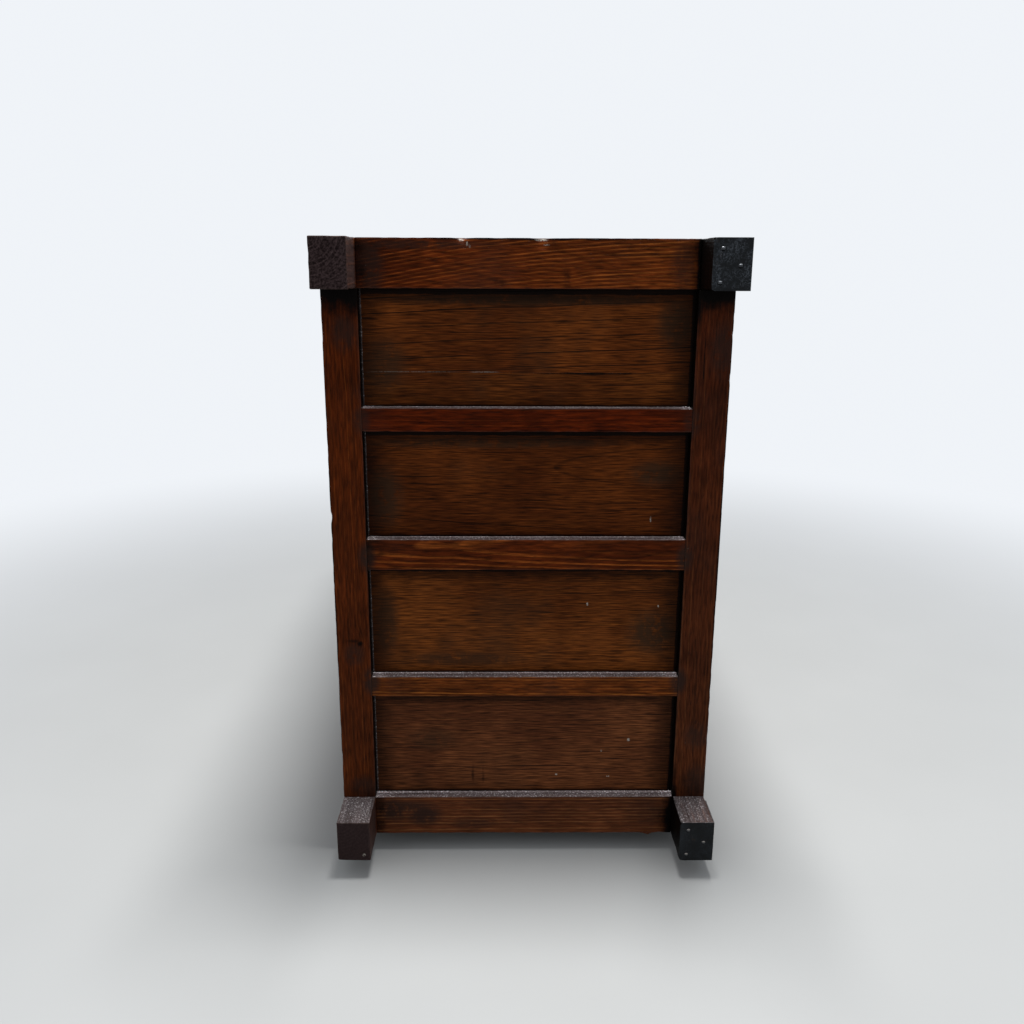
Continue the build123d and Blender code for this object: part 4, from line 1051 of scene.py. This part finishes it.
# Each post's upper smudge is painted shadow under the top beam's end, its lower one grime near
# the foot
NEAR_POSTS = {
    "front": {
        "heart": heart_at(-0.16, slope=0.01, behind=0.04),
        "smudges": ((-0.28, 0.980, 0.08, 0.042, 1.5), (-0.28, 0.12, 0.08, 0.03, 0.4)),
        "tone": (0.86, 0.96, 1.8),
        "low_tone": (0.92, 1.4, 2.8),
    },
    "back": {
        "heart": heart_at(0.14, slope=-0.012, behind=0.03),
        "smudges": ((0.29, 0.980, 0.08, 0.044, 1.6), (0.29, 0.11, 0.08, 0.02, 0.4)),
        "tone": (1.02, 1.02, 1.15),
        "low_tone": (1.02, 1.32, 2.2),
        "dents": (((END_FACE, BACK_FACE, 0.612), 0.007, (0.0, -0.0025, 0.0)),),
    },
}
# From the lowest panel up; the top one is made of two boards
NEAR_PANELS = {
    0: {"heart": heart_at(-0.3), "spacing": 0.0058, "lines": 0.4, "tone": (1.08, 1.36, 2.9)},
    1: {
        "heart": heart_at(0.1, slope=0.03),
        "spacing": 0.0105,
        "lines": 0.6,
        "tone": (1.05, 1.40, 1.2),
        "smudges": ((-0.208, 0.431, 0.04, 0.025, 0.3),),
    },
    2: {
        "heart": heart_at(0.690, tilt=0.12, behind=0.0415),
        "spacing": 0.036,
        "lines": 0.9,
        "tone": (0.74, 0.86, 0.8),
    },
    3: {"heart": heart_at(0.3), "spacing": 0.012, "lines": 0.4, "tone": (1.2, 1.3, 1.35)},
    4: {
        "heart": heart_at(0.6163, slope=0.05, behind=0.040),
        "spacing": 0.0235,
        "lines": 1.7,
        "tone": (1.12, 1.08, 1.1),
    },
}

# The sizes of the slices that a board's edges are worn in, along, across and through it
BEAM_CELLS, FINE_CELLS = (0.010, 0.012, 0.012), (0.007, 0.009, 0.012)
PANEL_CELLS = (0.010, 0.010)
# Each group's first seed
BEAM_SEED, POST_SEED, RAIL_SEED, PANEL_SEED, DOOR_SEED, DRAWER_SEED = 10, 20, 30, 40, 50, 60
FRONT_SEED, DECK_SEED, BASE_SEED, TOP_SEED, BACK_SEED, LOCKER_SEED = 70, 80, 85, 90, 91, 92

BEAM = {"axis": X, "depth_axis": Y, "round": 0.0018, "wear": 0.0016, "cells": BEAM_CELLS}
POST = {"axis": Z, "depth_axis": X, "round": 0.0016, "wear": 0.0012, "cells": FINE_CELLS,
        "end_grime": 0.5, "lines": 0.28, "calm": 0.30, "tone": (0.95, 0.9, 1.05)}
RAIL = {"axis": Y, "depth_axis": X, "round": 0.0015, "wear": 0.0012, "cells": FINE_CELLS,
        "end_grime": 0.45}
PANEL = {"axis": Y, "depth_axis": X, "round": 0.0004, "cells": PANEL_CELLS}

for row_seed, row in enumerate(("front", "back")):
    for level_seed, level in enumerate(("top", "base")):
        look = {**BEAM, "weather": 0.75 if row == "back" else 0.0}
        look.update({"dust_depth": 0.7} if level == "top" else {"dust_depth": 1.4, "calm": 0.8})
        seed = BEAM_SEED + row_seed * 2 + level_seed
        boards(f"beam_{level}_{row}", "frame_wood", seed, **look)
    for side_seed, side in enumerate(("left", "right")):
        near = NEAR_POSTS[row] if side == "left" else {}
        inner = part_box(f"post_{row}_{side}")[1 if row == "front" else 0].y
        seed = POST_SEED + row_seed * 2 + side_seed
        look = {**POST, "dark_side": inner, **near}
        boards(f"post_{row}_{side}", "frame_wood", seed, **look)

for side_seed, side in enumerate(("left", "right")):
    opening = (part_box(f"post_front_{side}")[1].y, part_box(f"post_back_{side}")[0].y)
    for level_seed, level in enumerate(RAIL_LEVELS):
        near = NEAR_RAILS[level] if side == "left" else {}
        # Ledges get deeper dust than the top rail, made paler too as painted light on ledges
        # that the rail above shades
        ledge = {"dust_depth": 3.3, "dust_ends": opening}
        dust = {"dust_depth": 0.7} if level == "top" else ledge
        seed = RAIL_SEED + side_seed * len(RAIL_LEVELS) + level_seed
        look = {**RAIL, **dust, **near}
        boards(f"end_rail_{level}_{side}", "frame_wood", seed, **look)
    near = NEAR_PANELS if side == "left" else {}
    look = {**PANEL, "recess": side, "each": near}
    boards(f"end_panels_{side}", "panel_wood", PANEL_SEED + side_seed, **look)
    boards(f"sliding_door_{side}", "front_wood", DOOR_SEED + side_seed, round=0.0008)

for seed, name in enumerate(("left", "right", "wide"), DRAWER_SEED):
    solids = solids_of(f"drawer_{name}")
    front = min(range(len(solids)), key=lambda i: low_corner(solids[i]).y)
    boards(f"drawer_{name}", "inner_wood", seed, each={front: {"slot": "front_wood"}})

FRONT_FRAME = ("front_rail_lower", "front_rail_middle", "drawer_partition", "locker_partition")
for seed, name in enumerate(FRONT_FRAME, FRONT_SEED):
    boards(name, "frame_wood", seed, round=0.001)

DECKS = ("compartment_shelf", "middle_deck", "lower_deck", "drawer_runners")
for seed, name in enumerate(DECKS, DECK_SEED):
    boards(name, "inner_wood", seed, round=0.0006)
# Floor boards get painted shade on their undersides, and the joists and axle blocks a dark tone
# as painted shade under the chest
for seed, name in enumerate(("floor_joists", "axle_blocks", "floor_boards"), BASE_SEED):
    look = {"under_grime": 1.2} if name == "floor_boards" else {"tone": (0.16, 0.14, 0.13)}
    boards(name, "inner_wood", seed, round=0.0006, **look)

boards("top_boards", "panel_wood", TOP_SEED, round=0.0008, dust_depth=0.60)
boards("back_boards", "back_wood", BACK_SEED, round=0.0008)
boards("locker_door", "front_wood", LOCKER_SEED, round=0.0008)


# Iron and wheels keep their CAD shapes

for name, node in frame["nodes"].items():
    if node.hide_render:
        continue
    node.data.materials.clear()
    if name.startswith("wheel"):
        node.data.materials.append(WHEEL_WOOD)
    elif name == "case_nails":
        node.data.materials.append(NAIL_IRON)
    else:
        node.data.materials.append(IRON)


# Floor, light and camera

FLOOR_REACH = 30.0
FLOOR_GREY, FLOOR_MOTTLE = 0.39, 0.04
# The floor turns white between these distances from the chest's middle
FADE_START, FADE_END = 0.7, 3.0
LIGHT_PLACE, LIGHT_TARGET = (-0.28, -0.12, 3.3), (-0.55, -0.05, 0.4)
LIGHT_SIZE, LIGHT_POWER = 0.7, 140.0
SURROUND_LEVEL = 0.62
# The camera that was solved from the edges of the end frame
CAMERA_AWAY, CAMERA_Y, CAMERA_Z = 1.4448, 0.0496, 1.0055
CAMERA_HEADING, CAMERA_PITCH, CAMERA_ROLL = math.radians(-90.0) - 0.0107, 0.2601, 0.0041
CAMERA_LENS, CAMERA_SENSOR, CAMERA_CLIP = 32.69, 36.0, 0.05


def floor():
    """A wide pale floor that turns white away from the chest."""
    mesh = bpy.data.meshes.new("floor")
    bm = bmesh.new()
    bmesh.ops.create_grid(bm, x_segments=8, y_segments=8, size=FLOOR_REACH)
    bm.to_mesh(mesh)
    bm.free()
    piece = placed("floor", mesh)
    m = Nodes("floor", 0.8, 0.2)
    away = m.length(m.place)
    soft = m.noise(2.5, 3.0)
    grey = m.scaled(soft, FLOOR_MOTTLE, FLOOR_GREY)
    near = m.vector(grey, m.math("ADD", grey, 0.005), grey)
    mesh.materials.append(m.finish(near))
    path = m.add("LightPath").outputs
    seen = m.math("MAXIMUM", path["Is Camera Ray"], path["Is Glossy Ray"])
    seen = m.math("MAXIMUM", seen, path["Is Transmission Ray"])
    white = m.add("Emission", BACKGROUND, 1.0)
    fade = m.times(m.step(away, FADE_START, FADE_END), seen)
    both = m.add("MixShader", fade, m.shader.outputs[0], white.outputs[0])
    m.set(m.tree.nodes["Material Output"].inputs["Surface"], both.outputs[0])


def soft_light(name, place, target, size, power):
    """A square soft box that faces a point."""
    data = bpy.data.lights.new(name, "AREA")
    data.shape = "SQUARE"
    data.size = size
    data.energy = power
    lamp = placed(name, data)
    lamp.location = place
    lamp.rotation_mode = "QUATERNION"
    lamp.rotation_quaternion = (Vector(target) - Vector(place)).to_track_quat("-Z", "Y")


def world():
    """A white surround for the camera and for gloss, and an even, dimmer light on the chest."""
    scene_world = bpy.data.worlds.new("world")
    bpy.context.scene.world = scene_world
    scene_world.use_nodes = True
    tree = scene_world.node_tree
    background = tree.nodes["Background"]
    background.inputs["Color"].default_value = BACKGROUND
    path = tree.nodes.new("ShaderNodeLightPath").outputs
    seen = path["Is Camera Ray"]
    for kind in ("Is Glossy Ray", "Is Transmission Ray"):
        either = tree.nodes.new("ShaderNodeMath")
        either.operation = "MAXIMUM"
        tree.links.new(seen, either.inputs[0])
        tree.links.new(path[kind], either.inputs[1])
        seen = either.outputs[0]
    choose = tree.nodes.new("ShaderNodeMapRange")
    choose.inputs["To Min"].default_value = SURROUND_LEVEL
    choose.inputs["To Max"].default_value = 1.0
    tree.links.new(seen, choose.inputs["Value"])
    tree.links.new(choose.outputs[0], background.inputs["Strength"])


def camera():
    """The photograph's camera: a little above the chest's middle, tilted down at its end."""
    data = bpy.data.cameras.new("camera")
    data.sensor_width = CAMERA_SENSOR
    data.lens = CAMERA_LENS
    data.clip_start = CAMERA_CLIP
    piece = placed("camera", data)
    piece.location = (END_FACE - CAMERA_AWAY, CAMERA_Y, CAMERA_Z)
    turn = Matrix.Rotation(CAMERA_HEADING, 4, "Z")
    tilt = Matrix.Rotation(math.radians(90.0) - CAMERA_PITCH, 4, "X")
    roll = Matrix.Rotation(CAMERA_ROLL, 4, "Z")
    piece.rotation_mode = "QUATERNION"
    piece.rotation_quaternion = (turn @ tilt @ roll).to_quaternion()
    bpy.context.scene.camera = piece


floor()
world()
soft_light("overhead", LIGHT_PLACE, LIGHT_TARGET, LIGHT_SIZE, LIGHT_POWER)
camera()
bpy.context.scene.view_settings.view_transform = "Standard"
